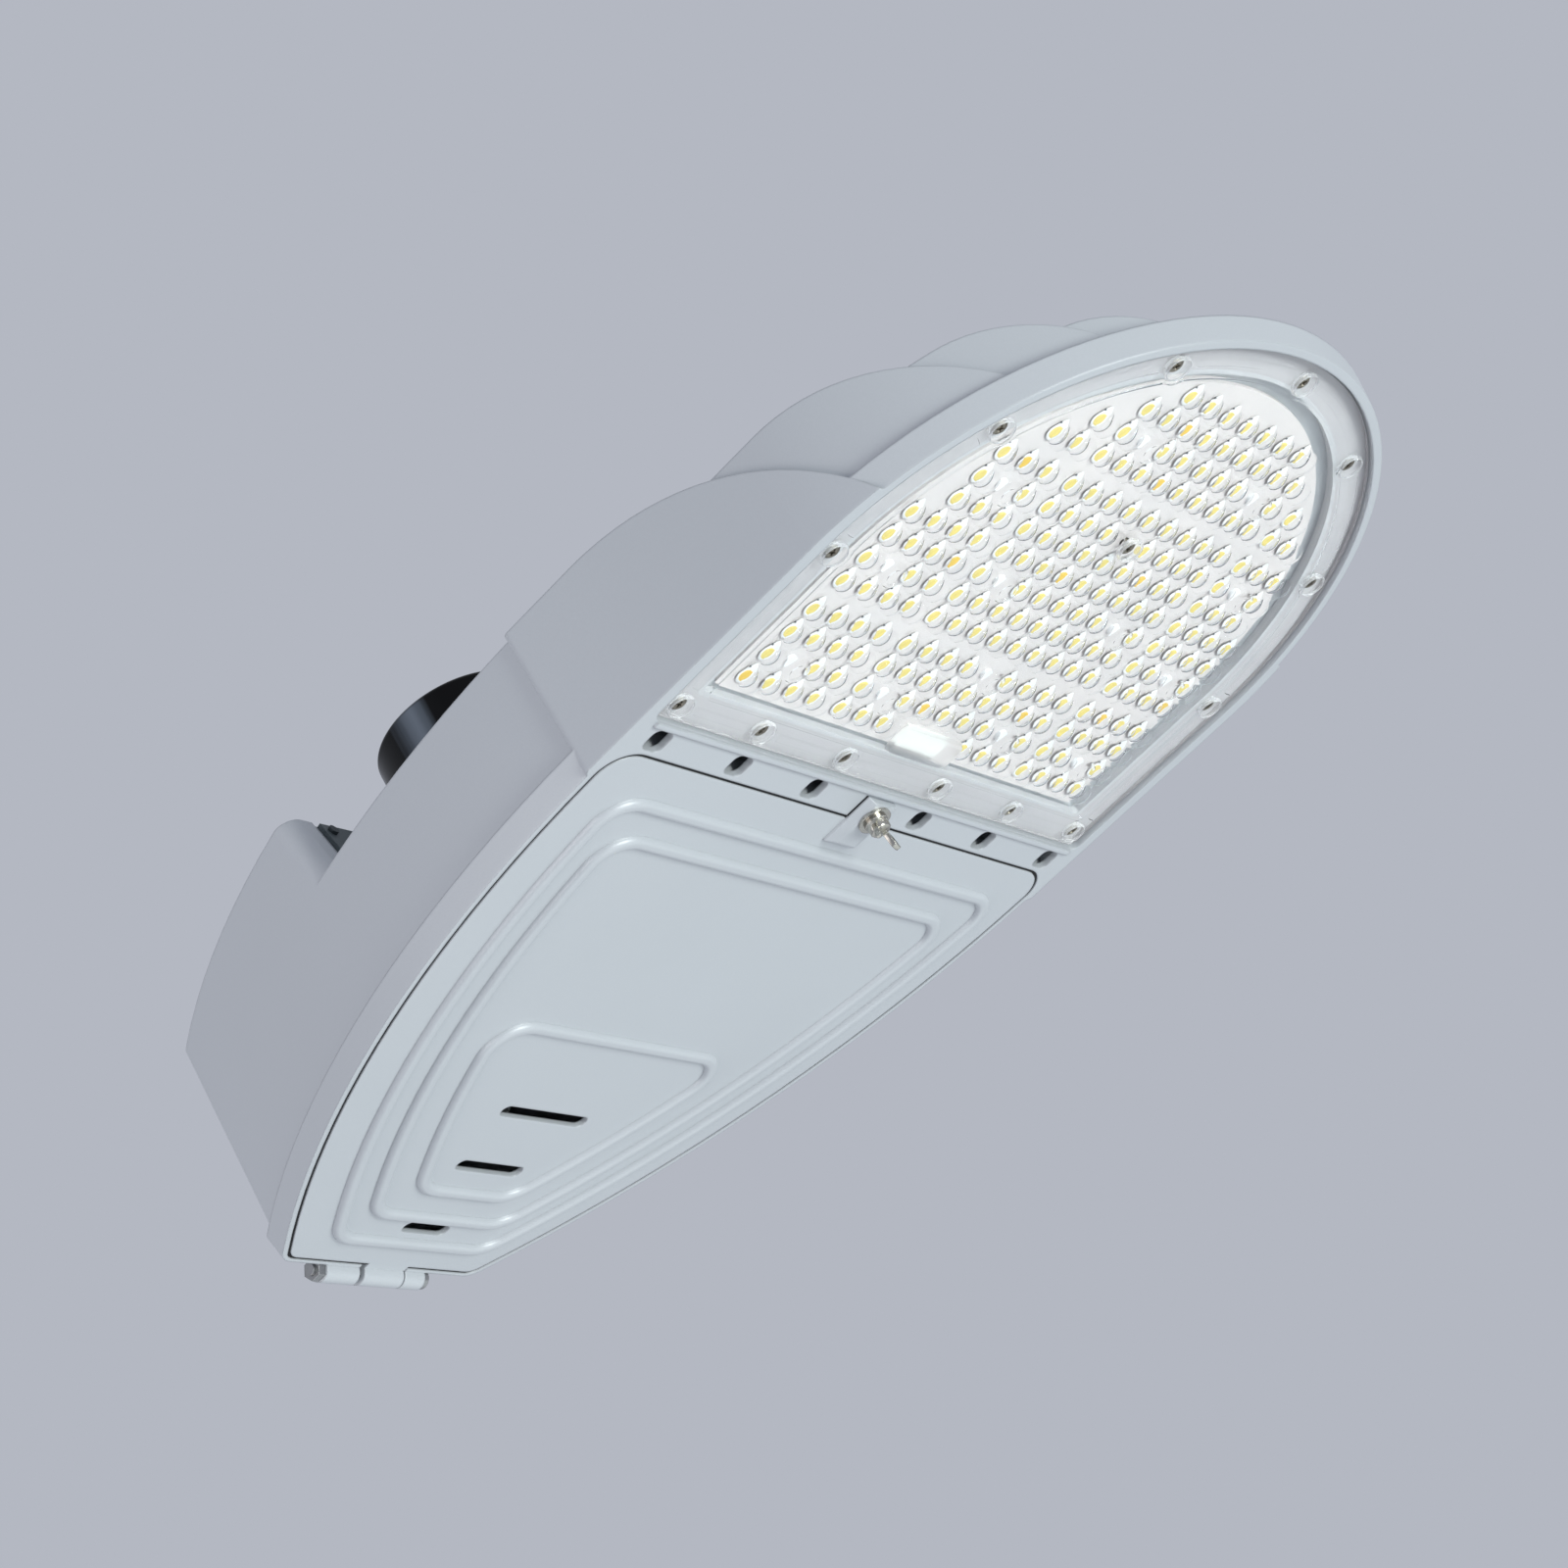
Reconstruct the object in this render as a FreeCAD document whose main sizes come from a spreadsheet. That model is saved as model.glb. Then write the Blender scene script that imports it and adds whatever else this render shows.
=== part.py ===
"""LED street light head: a die-cast body on a pole spigot, seen mostly from below.

Millimetres. The origin is the centre of the pole socket's mouth, +X points along the head to its
tip and +Z is up. The underside (the rim plane) lies rim_drop below the socket's axis.
"""

import FreeCAD, Part
import math
import os

import Sketcher
from FreeCAD import Placement, Rotation, Vector

doc = FreeCAD.newDocument("street_light_head")
sheet = doc.addObject("Spreadsheet::Sheet", "dim")

driving = {
    # Plan of the head: a half round front, straight sides, and sides that curve in to the tail
    "head_centre": 387.0,
    "head_radius": 149.0,
    "taper_start": 277.0,
    "taper_radius": 470.0,
    "tail_corner": 10.0,
    "tail_overhang": 1.0,
    "rim_drop": 57.0,
    "rim_height": 11.0,
    "rim_flare": 2.0,
    "wall": 3.0,
    # Wiring bay, its deck and the raised tail block
    "bay_step": 3.0,
    "bay_front": 270.0,
    "deck_rear_top": 14.9,
    "deck_front_top": 16.4,
    "crown_radius": 1500.0,
    "crown_angle": 14.0,
    "block_rear_top": 47.5,
    "block_front_top": 43.0,
    "block_foot": 145.5,
    "block_lean": 11.0,
    "block_edge": 7.0,
    # Overlapping hoods over the light engine: crest height, where the arc starts, arc radius, inset
    "hood_one_top": 17.6,
    "hood_one_start": 306.0,
    "hood_one_radius": 127.0,
    "hood_two_top": 2.3,
    "hood_two_start": 391.5,
    "hood_two_radius": 94.0,
    "hood_two_inset": 3.0,
    "hood_three_top": -14.2,
    "hood_three_start": 454.0,
    "hood_three_radius": 50.0,
    "hood_three_inset": 5.0,
    "hood_four_top": -28.2,
    "hood_four_start": 491.0,
    "hood_four_radius": 25.0,
    "hood_four_inset": 7.0,
    "collar_inset": 9.0,
    "collar_height": 3.5,
    # Pole socket and its clamp
    "socket_radius": 31.0,
    "socket_length": 105.0,
    "socket_wall": 5.0,
    "cable_hole": 11.0,
    "clamp_bolt_radius": 4.0,
    "clamp_bolt_first": 32.0,
    "clamp_bolt_second": 82.0,
    "clamp_boss_radius": 9.0,
    "clamp_boss_depth": 4.0,
    "bolt_head_across": 13.0,
    "bolt_head_height": 5.5,
    # Photocell stand, receptacle and photocell
    "cell_place": 156.0,
    "stand_radius": 40.0,
    "stand_top": 45.0,
    "cell_radius": 37.9,
    "cell_top": 106.0,
    "cell_wall": 2.5,
    "cell_edge": 2.5,
    "receptacle_radius": 33.0,
    "receptacle_plate": 6.0,
    "receptacle_body": 24.0,
    "receptacle_depth": 20.0,
    "cell_gasket": 1.5,
    "blade_circle": 13.0,
    "blade_thick": 1.6,
    "blade_sweep": 26.0,
    "blade_length": 10.0,
    "slot_sweep": 64.0,
    "slot_play": 0.6,
    # Bridge between the bay door and the lens, with its air holes
    "door_front": 284.5,
    "bridge_front": 301.0,
    "bridge_thick": 3.0,
    "lip_width": 2.4,
    "lip_height": 1.0,
    "duct_rear": 287.8,
    "duct_front": 298.0,
    "duct_half": 142.5,
    "air_hole_long": 10.5,
    "air_hole_wide": 10.0,
    "air_hole_corner": 3.2,
    "air_hole_place": 292.9,
    "air_hole_inner": 36.3,
    "air_hole_middle": 84.6,
    "air_hole_outer": 133.2,
    "lead_hole_radius": 4.5,
    "lead_hole_side": 17.0,
    "lead_hole_drop": 30.0,
    # Door: plate, pressed beads, vents, hinge and latch
    "rim_land": 2.3,
    "door_gap": 1.4,
    "door_thick": 2.5,
    "door_corner_front": 13.0,
    "seat_depth": 5.0,
    "seat_width": 5.0,
    "seat_thick": 3.0,
    "door_middle": 2.8,
    "bead_width": 6.0,
    "bead_height": 2.4,
    "bead_one_inset": 14.4,
    "bead_one_tail": 14.0,
    "bead_one_front": 268.0,
    "bead_two_inset": 29.2,
    "bead_two_tail": 31.0,
    "bead_two_front": 251.2,
    "bead_three_inset": 48.0,
    "bead_three_tail": 48.0,
    "bead_three_front": 151.6,
    "vent_width": 6.4,
    "vent_one_place": 26.6,
    "vent_one_length": 27.0,
    "vent_two_place": 67.0,
    "vent_two_length": 40.0,
    "vent_three_place": 101.0,
    "vent_three_length": 53.0,
    "door_rib_height": 3.5,
    "door_rib_thick": 2.2,
    "hinge_back": 6.0,
    "hinge_drop": 56.0,
    "knuckle_radius": 5.0,
    "pin_radius": 2.5,
    "pin_play": 0.1,
    "door_knuckle_left": -8.5,
    "door_knuckle_right": 15.7,
    "knuckle_gap_left": 3.0,
    "knuckle_gap_right": 0.8,
    "knuckle_length_left": 19.5,
    "knuckle_length_right": 12.5,
    "latch_place": 290.5,
    "latch_side": 4.0,
    "tab_rear": 272.0,
    "tab_front": 297.5,
    "tab_width": 18.0,
    "tab_thick": 4.0,
    "tab_slope": 3.0,
    "latch_radius": 3.0,
    "latch_play": 0.5,
    "latch_bore_play": 0.8,
    "latch_length": 19.0,
    "latch_boss_radius": 7.0,
    "washer_radius": 6.8,
    "washer_thick": 1.2,
    "hub_radius": 5.0,
    "hub_height": 5.0,
    "wing_span": 22.0,
    "wing_thick": 2.2,
    "wing_rise": 8.5,
    "wing_turn": 10.0,
    # Light engine: lens plate, gasket, board, LEDs and heat sink
    "lens_gap": 0.6,
    "lens_inset": 4.4,
    "lens_rear": 301.9,
    "lens_corner": 4.0,
    "lens_recess": 2.0,
    "lens_thick": 2.5,
    "lens_land": 2.6,
    "step_inset": 7.4,
    "step_width": 7.4,
    "step_height": 0.9,
    "gasket_width": 11.0,
    "gasket_inset": 1.0,
    "board_inset": 25.0,
    "board_rear": 319.0,
    "board_thick": 1.6,
    "board_air": 1.0,
    "sink_plate": 3.0,
    "sink_gap": 0.5,
    "throat_inset": 18.0,
    "throat_rear": 315.0,
    "fin_first": -96.0,
    "fin_pitch": 19.2,
    "fin_thick": 2.2,
    "fin_rear": 322.0,
    "fin_front": 436.0,
    "fin_top": -22.0,
    "led_first": 327.0,
    "led_pitch_side": 14.0,
    "led_pitch_along": 11.62,
    "led_group_gap": 0.235,
    "led_row_gap": 0.296,
    "led_size": 6.0,
    "led_thick": 1.4,
    "dome_radius": 5.3,
    "dome_height": 3.0,
    "dome_shift": 0.6,
    "blind_radius": 5.4,
    "blind_height": 2.2,
    "connector_long": 41.0,
    "connector_wide": 17.0,
    "connector_rise": 2.6,
    "plug_long": 26.0,
    "plug_wide": 9.0,
    "plug_thick": 1.9,
    "screw_radius": 2.0,
    "screw_length": 11.0,
    "screw_head": 3.7,
    "screw_head_height": 2.0,
    "screw_hole": 2.3,
    "thread_play": 0.2,
    "ring_radius": 5.4,
    "ring_bore": 4.2,
    "ring_rise": 3.4,
    "ring_sink": 0.6,
    "lens_screw_inset": 13.0,
    "lens_screw_rear": 308.8,
    "lens_screw_middle": 86.5,
    "lens_screw_centre": 32.7,
    "board_screw_radius": 1.5,
    "board_screw_head": 2.8,
    # What the wiring bay holds
    "driver_rear": 204.0,
    "driver_front": 270.0,
    "driver_half": 82.0,
    "driver_height": 36.0,
    "driver_corner": 4.0,
    "driver_foot": 10.0,
    "driver_foot_thick": 2.0,
    "driver_boss_radius": 4.5,
    "bay_ceiling": 4.0,
    "surge_place": 168.0,
    "surge_side": -84.0,
    "surge_long": 58.0,
    "surge_wide": 34.0,
    "surge_tall": 26.0,
    "terminal_place": 172.0,
    "terminal_side": 84.0,
    "terminal_pitch": 14.0,
    "terminal_count": 3,
    "terminal_wide": 24.0,
    "terminal_tall": 20.0,
    "terminal_base": 3.0,
    "earth_place": 178.0,
    "earth_side": -36.0,
    "earth_boss": 5.5,
    "deck_gap": 0.3,
    "lead_radius": 2.6,
    "plate_inner": 46.0,
    "plate_margin": 41.0,
    "plate_low": 15.0,
    "plate_thick": 2.0,
    "plate_frame": 4.0,
    "plate_recess": 1.5,
}


class Size:
    """A length that carries both its number and its expression in the sheet."""

    def __init__(self, value, text):
        self.value = value
        self.text = text

    def __add__(self, other):
        other = size(other)
        return Size(self.value + other.value, f"({self.text} + {other.text})")

    def __sub__(self, other):
        other = size(other)
        return Size(self.value - other.value, f"({self.text} - {other.text})")

    def __mul__(self, other):
        other = size(other)
        return Size(self.value * other.value, f"({self.text} * {other.text})")

    def __truediv__(self, other):
        other = size(other)
        return Size(self.value / other.value, f"({self.text} / {other.text})")

    def __radd__(self, other):
        return size(other) + self

    def __rsub__(self, other):
        return size(other) - self

    def __rmul__(self, other):
        return size(other) * self

    def __neg__(self):
        return Size(-self.value, f"(-1 * {self.text})")


def size(number):
    return number if isinstance(number, Size) else Size(float(number), f"({float(number)})")


def root(number):
    return Size(math.sqrt(number.value), f"sqrt({number.text})")


def tangent(angle):
    return Size(math.tan(math.radians(angle.value)), f"tan({angle.text})")


def cosine(angle):
    return Size(math.cos(math.radians(angle.value)), f"cos({angle.text})")


def sine(angle):
    return Size(math.sin(math.radians(angle.value)), f"sin({angle.text})")


class Sheet:
    """The sheet's cells by alias, as Size objects."""


d = Sheet()
for row, (alias, number) in enumerate(driving.items(), start=1):
    sheet.set(f"A{row}", alias)
    sheet.set(f"B{row}", str(number))
    sheet.setAlias(f"B{row}", alias)
    setattr(d, alias, Size(float(number), f"dim.{alias}"))
doc.recompute()


def bind(obj, **bound):
    for name, number in bound.items():
        obj.setExpression(name.replace("__", "."), size(number).text)
    return obj


def place(obj, x, y, z):
    return bind(obj, Placement__Base__x=x, Placement__Base__y=y, Placement__Base__z=z)


def box(name, x, y, z):
    obj = doc.addObject("Part::Box", name)
    bind(obj, Length=size(x[1]) - x[0], Width=size(y[1]) - y[0], Height=size(z[1]) - z[0])
    return place(obj, x[0], y[0], z[0])


def cylinder(name, radius, x, y, z):
    """A round bar along the one axis that is given as a pair of ends."""
    obj = doc.addObject("Part::Cylinder", name)
    ends = next(a for a in (x, y, z) if isinstance(a, tuple))
    turns = {id(x): Rotation(Vector(0, 1, 0), 90), id(y): Rotation(Vector(1, 0, 0), -90)}
    obj.Placement = Placement(Vector(), turns.get(id(ends), Rotation()))
    bind(obj, Radius=radius, Height=size(ends[1]) - ends[0])
    return place(obj, *(a[0] if isinstance(a, tuple) else a for a in (x, y, z)))


def fuse(name, parts):
    obj = doc.addObject("Part::MultiFuse", name)
    obj.Shapes = parts
    obj.Refine = True
    return obj


def common(name, first, second):
    obj = doc.addObject("Part::Common", name)
    obj.Base = first
    obj.Tool = second
    return obj


def cut(name, base, tools):
    obj = doc.addObject("Part::Cut", name)
    obj.Base = base
    obj.Tool = tools[0] if len(tools) == 1 else fuse(name + "_tools", tools)
    obj.Refine = True
    return obj


def group(name, parts):
    obj = doc.addObject("Part::Compound", name)
    obj.Links = parts
    return obj


def round_edges(name, base, radius, wanted):
    """A fillet on the edges of base that the test wanted picks."""
    doc.recompute()
    obj = doc.addObject("Part::Fillet", name)
    obj.Base = base
    picked = [i for i, edge in enumerate(base.Shape.Edges, start=1) if wanted(edge)]
    obj.Edges = [(i, radius.value, radius.value) for i in picked]
    return obj


def at_height(z):
    """A test for edges that lie in the level plane z."""
    def test(edge):
        ends = edge.BoundBox
        return abs(ends.ZMin - z.value) < 0.01 and abs(ends.ZMax - z.value) < 0.01
    return test


pieces = {}


def keep(node, obj):
    obj.Label = node
    pieces[node] = obj
    return obj


def arc(x, y, radius, start, end):
    circle = Part.Circle(Vector(x, y, 0), Vector(0, 0, 1), radius)
    return Part.ArcOfCircle(circle, math.radians(start), math.radians(end))


def line(x0, y0, x1, y1):
    return Part.LineSegment(Vector(x0, y0, 0), Vector(x1, y1, 0))


def plan(name, half, tail, corner, front=None, front_corner=None, taper=False, taper_inset=0.0,
         z=0.0):
    """A closed outline in plan, symmetric about the X axis, run anticlockwise.

    The front is a half round about head_centre, or the straight line at front with its corners.
    The sides run straight back, or curve in from taper_start, to the straight tail line.
    """
    sk = doc.addObject("Sketcher::SketchObject", name)
    half, tail, corner = size(half), size(tail), size(corner)
    h, xt, rc = half.value, tail.value, corner.value
    upper = []
    radius = d.taper_radius - taper_inset
    xs, r = d.taper_start.value, radius.value
    cy = h - r
    nose_y = h
    if front is None:
        side_from = d.head_centre.value
    else:
        front, front_corner = size(front), size(front_corner)
        side_from, rf = (front - front_corner).value, front_corner.value
        nose_y = h - rf
    no_side = taper and side_from < xs
    turn_from = 90
    if no_side:
        nose_y = cy + math.sqrt((r - rf) ** 2 - (xs - side_from) ** 2)
        turn_from = math.degrees(math.atan2(nose_y - cy, side_from - xs))
    if front is not None:
        upper.append(("arc", side_from, nose_y, front_corner, 0, turn_from))
    if taper:
        fy = cy + math.sqrt((r - rc) ** 2 - (xs - xt - rc) ** 2)
        turn = math.degrees(math.atan2(fy - cy, xt + rc - xs))
        if not no_side:
            upper.append(("line", side_from, h, xs, h))
        upper.append(("arc", xs, cy, radius, turn_from, turn))
        upper.append(("arc", xt + rc, fy, corner, turn, 180))
    else:
        fy = h - rc
        upper.append(("line", side_from, h, xt + rc, h))
        upper.append(("arc", xt + rc, fy, corner, 90, 180))
    lower = []
    for item in reversed(upper):
        if item[0] == "line":
            lower.append(("line", item[3], -item[4], item[1], -item[2]))
        else:
            lower.append(("arc", item[1], -item[2], item[3], 360 - item[5], 360 - item[4]))
    back = [("line", xt, fy, xt, -fy)]
    if front is None:
        nose = [("arc", d.head_centre.value, 0, half, -90, 90)]
    else:
        nose = [("line", front.value, -nose_y, front.value, nose_y)]
    items = nose + upper + back + lower
    for item in items:
        if item[0] == "line":
            sk.addGeometry(line(*item[1:]), False)
        else:
            sk.addGeometry(arc(item[1], item[2], item[3].value, item[4], item[5]), False)
    count = len(items)
    for i in range(count):
        sk.addConstraint(Sketcher.Constraint("Tangent", i, 2, (i + 1) % count, 1))
    def fix(kind, *where, to):
        index = sk.addConstraint(Sketcher.Constraint(kind, *where, to.value))
        sk.setExpression(f"Constraints[{index}]", to.text)
    for i, item in enumerate(items):
        if item[0] == "arc":
            fix("Radius", i, to=item[3])
    first_side = 1 if front is None else 2
    last_side = count - 1 if front is None else count - 2
    rear = items.index(back[0])
    sk.addConstraint(Sketcher.Constraint("Vertical", rear))
    if no_side:
        for side, ends in ((first_side, (first_side, 3, -1, 1)), (last_side, (-1, 1, last_side, 3))):
            fix("DistanceX", -1, 1, side, 3, to=d.taper_start)
            fix("DistanceY", *ends, to=radius - half)
        fix("DistanceX", -1, 1, 0, 1, to=front)
        fix("DistanceX", rear, 1, 0, 1, to=front - tail)
        return bind(sk, Placement__Base__z=z)
    sk.addConstraint(Sketcher.Constraint("Horizontal", first_side))
    sk.addConstraint(Sketcher.Constraint("Horizontal", last_side))
    if front is None:
        fix("DistanceX", -1, 1, 0, 3, to=d.head_centre)
        sk.addConstraint(Sketcher.Constraint("PointOnObject", 0, 3, -1))
        fix("DistanceX", rear, 1, 0, 3, to=d.head_centre - tail)
    else:
        fix("DistanceX", -1, 1, 0, 1, to=front)
        fix("DistanceY", -1, 1, first_side, 1, to=half)
        fix("DistanceY", last_side, 2, -1, 1, to=half)
        fix("DistanceX", rear, 1, 0, 1, to=front - tail)
    if taper:
        fix("DistanceX", -1, 1, first_side, 2, to=d.taper_start)
        fix("DistanceX", -1, 1, last_side, 1, to=d.taper_start)
    return bind(sk, Placement__Base__z=z)


def prism(name, outline, height):
    obj = doc.addObject("Part::Extrusion", name)
    obj.Base = outline
    obj.DirMode = "Custom"
    obj.Dir = Vector(0, 0, 1)
    obj.Solid = True
    return bind(obj, LengthFwd=height)


def crowned(name, points, arcs):
    """A side profile in X and Z turned about a far-off level axis, so that its top is crowned.

    points are the profile's corners in order. arcs names the runs between corners that are an
    arc: run index to (centre x, radius), where the arc starts level at its first corner.
    """
    sk = doc.addObject("Sketcher::SketchObject", name + "_profile")
    sk.Placement = Placement(Vector(), Rotation(Vector(1, 0, 0), 90))
    points = [(size(x), size(z)) for x, z in points]
    count = len(points)
    for i in range(count):
        (x0, z0), (x1, z1) = points[i], points[(i + 1) % count]
        if i in arcs:
            cx, radius = arcs[i]
            low = math.degrees(math.acos((x1.value - cx.value) / radius.value))
            sk.addGeometry(arc(cx.value, z0.value - radius.value, radius.value, low, 90), False)
        else:
            sk.addGeometry(line(x0.value, z0.value, x1.value, z1.value), False)
    def ends(i):
        return (2, 1) if i in arcs else (1, 2)
    for i in range(count):
        j = (i + 1) % count
        sk.addConstraint(Sketcher.Constraint("Coincident", i, ends(i)[1], j, ends(j)[0]))
    def fix(kind, *where, to):
        index = sk.addConstraint(Sketcher.Constraint(kind, *where, to.value))
        sk.setExpression(f"Constraints[{index}]", to.text)
    for i, (x, z) in enumerate(points):
        fix("DistanceX", -1, 1, i, ends(i)[0], to=x)
        fix("DistanceY", -1, 1, i, ends(i)[0], to=z)
    for i, (cx, radius) in arcs.items():
        fix("Radius", i, to=radius)
    obj = doc.addObject("Part::Revolution", name)
    obj.Source = sk
    obj.Axis = Vector(1, 0, 0)
    obj.Solid = True
    obj.Symmetric = True
    return bind(obj, Base__z=-d.crown_radius, Angle=d.crown_angle)


def across(name, points):
    """A side profile in X and Z drawn out level across the whole width."""
    sk = doc.addObject("Sketcher::SketchObject", name + "_profile")
    sk.Placement = Placement(Vector(), Rotation(Vector(1, 0, 0), 90))
    points = [(size(x), size(z)) for x, z in points]
    count = len(points)
    for i in range(count):
        (x0, z0), (x1, z1) = points[i], points[(i + 1) % count]
        sk.addGeometry(line(x0.value, z0.value, x1.value, z1.value), False)
    for i in range(count):
        sk.addConstraint(Sketcher.Constraint("Coincident", i, 2, (i + 1) % count, 1))
    for i, (x, z) in enumerate(points):
        for kind, to in (("DistanceX", x), ("DistanceY", z)):
            index = sk.addConstraint(Sketcher.Constraint(kind, -1, 1, i, 1, to.value))
            sk.setExpression(f"Constraints[{index}]", to.text)
    obj = doc.addObject("Part::Extrusion", name)
    obj.Base = sk
    obj.DirMode = "Custom"
    obj.Dir = Vector(0, 1, 0)
    obj.Solid = True
    obj.Symmetric = True
    return bind(obj, LengthFwd=3 * d.head_radius)


# Levels and offsets that several pieces share
rim_plane = -d.rim_drop
rim_top = rim_plane + d.rim_height
rim_outer = d.head_radius + d.rim_flare
bay_half = rim_outer - d.bay_step
bay_tail = d.bay_step - d.tail_overhang - d.rim_flare
seat = rim_plane + d.seat_depth
lens_face = rim_plane + d.lens_recess
lens_back = lens_face + d.lens_thick
board_face = lens_back + d.led_thick + d.board_air
board_back = board_face + d.board_thick
sink_back = board_back + d.sink_plate
ledge_top = rim_top + d.collar_height
lens_half = d.head_radius - d.lens_inset
door_half = d.head_radius - d.rim_land - d.door_gap
door_tail = d.rim_land + d.door_gap - d.tail_overhang - 0.7
door_front_edge = d.door_front
door_back = rim_plane + d.door_thick
hinge_x = -d.hinge_back
hinge_z = -d.hinge_drop
tab_face = rim_plane - d.tab_thick


def tapered(name, inset, tail, corner, height, z):
    """A prism on the whole plan, inset from the rim's upper edge."""
    sk = plan(name + "_plan", rim_outer - inset, tail, corner, taper=True,
              taper_inset=inset - d.rim_flare, z=z)
    return prism(name, sk, height)


def round_fronted(name, half, tail, corner, height, z):
    """A prism with a half round front and a straight tail."""
    return prism(name, plan(name + "_plan", half, tail, corner, z=z), height)


def under_deck_at(y):
    """Height of the deck's underside at the side distance y, over the bay's rear part."""
    return d.deck_rear_top - d.wall - size(y) * size(y) / (2 * d.crown_radius)


def lens_screw_places():
    """Centres of the lens plate's rim screws, from tip to tail."""
    circle = d.head_radius - d.lens_screw_inset
    places = [(d.head_centre + circle, size(0))]
    for angle in (30, 60, 90):
        c, s = math.cos(math.radians(angle)), math.sin(math.radians(angle))
        for side in (1, -1):
            places.append((d.head_centre + circle * c, circle * s * side))
    for y in (circle, d.lens_screw_middle, d.lens_screw_centre):
        for side in (1, -1):
            places.append((d.lens_screw_rear, y * side))
    return places


# LED columns that each row leaves out, row 0 at the tail; the rows narrow towards the round tip
led_gaps = {
    0: (7, 8, 9),
    1: (1, 5, 11, 15),
    3: (8,),
    5: (1, 15),
    6: (5, 11),
    8: (0, 16),
    9: (0, 2, 8, 14, 16),
    10: (0, 16),
    11: (0, 1, 15, 16),
    12: (0, 1, 2, 5, 11, 14, 15, 16),
    13: (0, 1, 2, 3, 13, 14, 15, 16),
    14: (0, 1, 2, 3, 4, 12, 13, 14, 15, 16),
}
led_columns = 17
led_rows = 15
board_screw_spots = [(1, 1), (5, 1), (11, 1), (15, 1), (8, 3), (1, 5), (15, 5), (5, 6), (11, 6),
                     (2, 9), (14, 9), (5, 12), (11, 12)]
centre_screw_spot = (8, 9)


def led_place(column, row):
    """The grid has a wider gap after columns 3 and 12 and after rows 3 and 10."""
    middle = (led_columns - 1) / 2
    side_steps = column - middle + d.led_group_gap * ((column > 3) + (column > 12) - 1)
    along_steps = row + d.led_row_gap * ((row > 3) + (row > 10))
    return d.led_first + d.led_pitch_along * along_steps, d.led_pitch_side * side_steps


def led_places():
    return [led_place(column, row) for row in range(led_rows) for column in range(led_columns)
            if column not in led_gaps.get(row, ())]


hoods = [
    # name, top, arc start, arc radius, inset, rear end
    ("hood_one", d.hood_one_top, d.hood_one_start, d.hood_one_radius, size(0), d.bay_front),
    ("hood_two", d.hood_two_top, d.hood_two_start, d.hood_two_radius, d.hood_two_inset,
     d.bridge_front),
    ("hood_three", d.hood_three_top, d.hood_three_start, d.hood_three_radius,
     d.hood_three_inset, d.head_centre - 12),
    ("hood_four", d.hood_four_top, d.hood_four_start, d.hood_four_radius, d.hood_four_inset,
     d.head_centre - 12),
]


def hood(name, top, start, radius, inset, rear, skin, floor, corner):
    """One hood, or with a skin its hollow: plan and crowned side profile in common."""
    reach = start + root((radius - skin) * (radius - skin)
                         - (floor - top + radius) * (floor - top + radius))
    outline = round_fronted(name + "_body", rim_outer - inset - skin, rear, corner,
                            top - floor + d.rim_height, floor)
    profile = crowned(name + "_side", [(rear - 5, floor - 12), (rear - 5, top - skin),
                                       (start, top - skin), (reach, floor), (reach, floor - 12)],
                      {2: (start, radius - skin)})
    return common(name, outline, profile)


def housing():
    """Die-cast body: rim, wiring bay, tail block with the pole socket, hoods over the LEDs."""
    rim_sketch = plan("rim_plan", d.head_radius, -d.tail_overhang, d.tail_corner, taper=True,
                      z=rim_plane)
    rim = prism("rim", rim_sketch, d.rim_height)
    rim.TaperAngle = math.degrees(math.atan2(d.rim_flare.value, d.rim_height.value))
    bay_depth = d.deck_front_top - rim_plane + 10
    bay_plan = tapered("bay_plan_body", d.bay_step, bay_tail, d.tail_corner, bay_depth, rim_plane)
    deck_side = crowned("deck_side", [(-20, rim_plane - 12), (-20, d.deck_rear_top),
                                      (d.cell_place, d.deck_rear_top),
                                      (d.bay_front + 4, d.deck_front_top),
                                      (d.bay_front + 4, rim_plane - 12)], {})
    bay = common("bay", bay_plan, deck_side)
    lean = tangent(d.block_lean)
    block_front = d.block_foot - lean * (d.block_front_top - d.deck_rear_top)
    block_foot_low = d.block_foot + lean * (d.deck_rear_top - rim_plane)
    block_plan = tapered("block_plan_body", d.bay_step, bay_tail, d.tail_corner,
                         d.block_rear_top + d.rim_drop + 10, rim_plane)
    block_side = across("block_side", [(-20, rim_plane), (-20, d.block_rear_top),
                                       (bay_tail, d.block_rear_top),
                                       (block_front, d.block_front_top),
                                       (block_foot_low, rim_plane)])
    block = common("block", block_plan, block_side)
    block = round_edges("block_rounded", block, d.block_edge, front_corner_of_block)
    outer_hoods = [hood(name, top, start, radius, inset, rear, size(0), rim_plane, d.wall)
                   for name, top, start, radius, inset, rear in hoods]
    collar = round_fronted("collar", rim_outer - d.collar_inset, d.bridge_front, d.wall,
                           d.rim_height + d.collar_height, rim_plane)
    stand = cylinder("cell_stand", d.stand_radius, d.cell_place, 0, (0, d.stand_top))
    outer = fuse("housing_outer", [rim, bay, block, collar, stand] + outer_hoods)
    hollow = cut("housing_hollow", outer, bay_hollows() + head_hollows())
    return cut("housing", fuse("housing_full", [hollow] + housing_inner_walls()),
               housing_holes())


def front_corner_of_block(edge):
    """The two upright corners where the block's front face meets its flanks."""
    ends = edge.BoundBox
    upright = ends.ZLength > 50 and ends.YLength < 12
    return upright and ends.XMin > d.block_foot.value - 25


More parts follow.
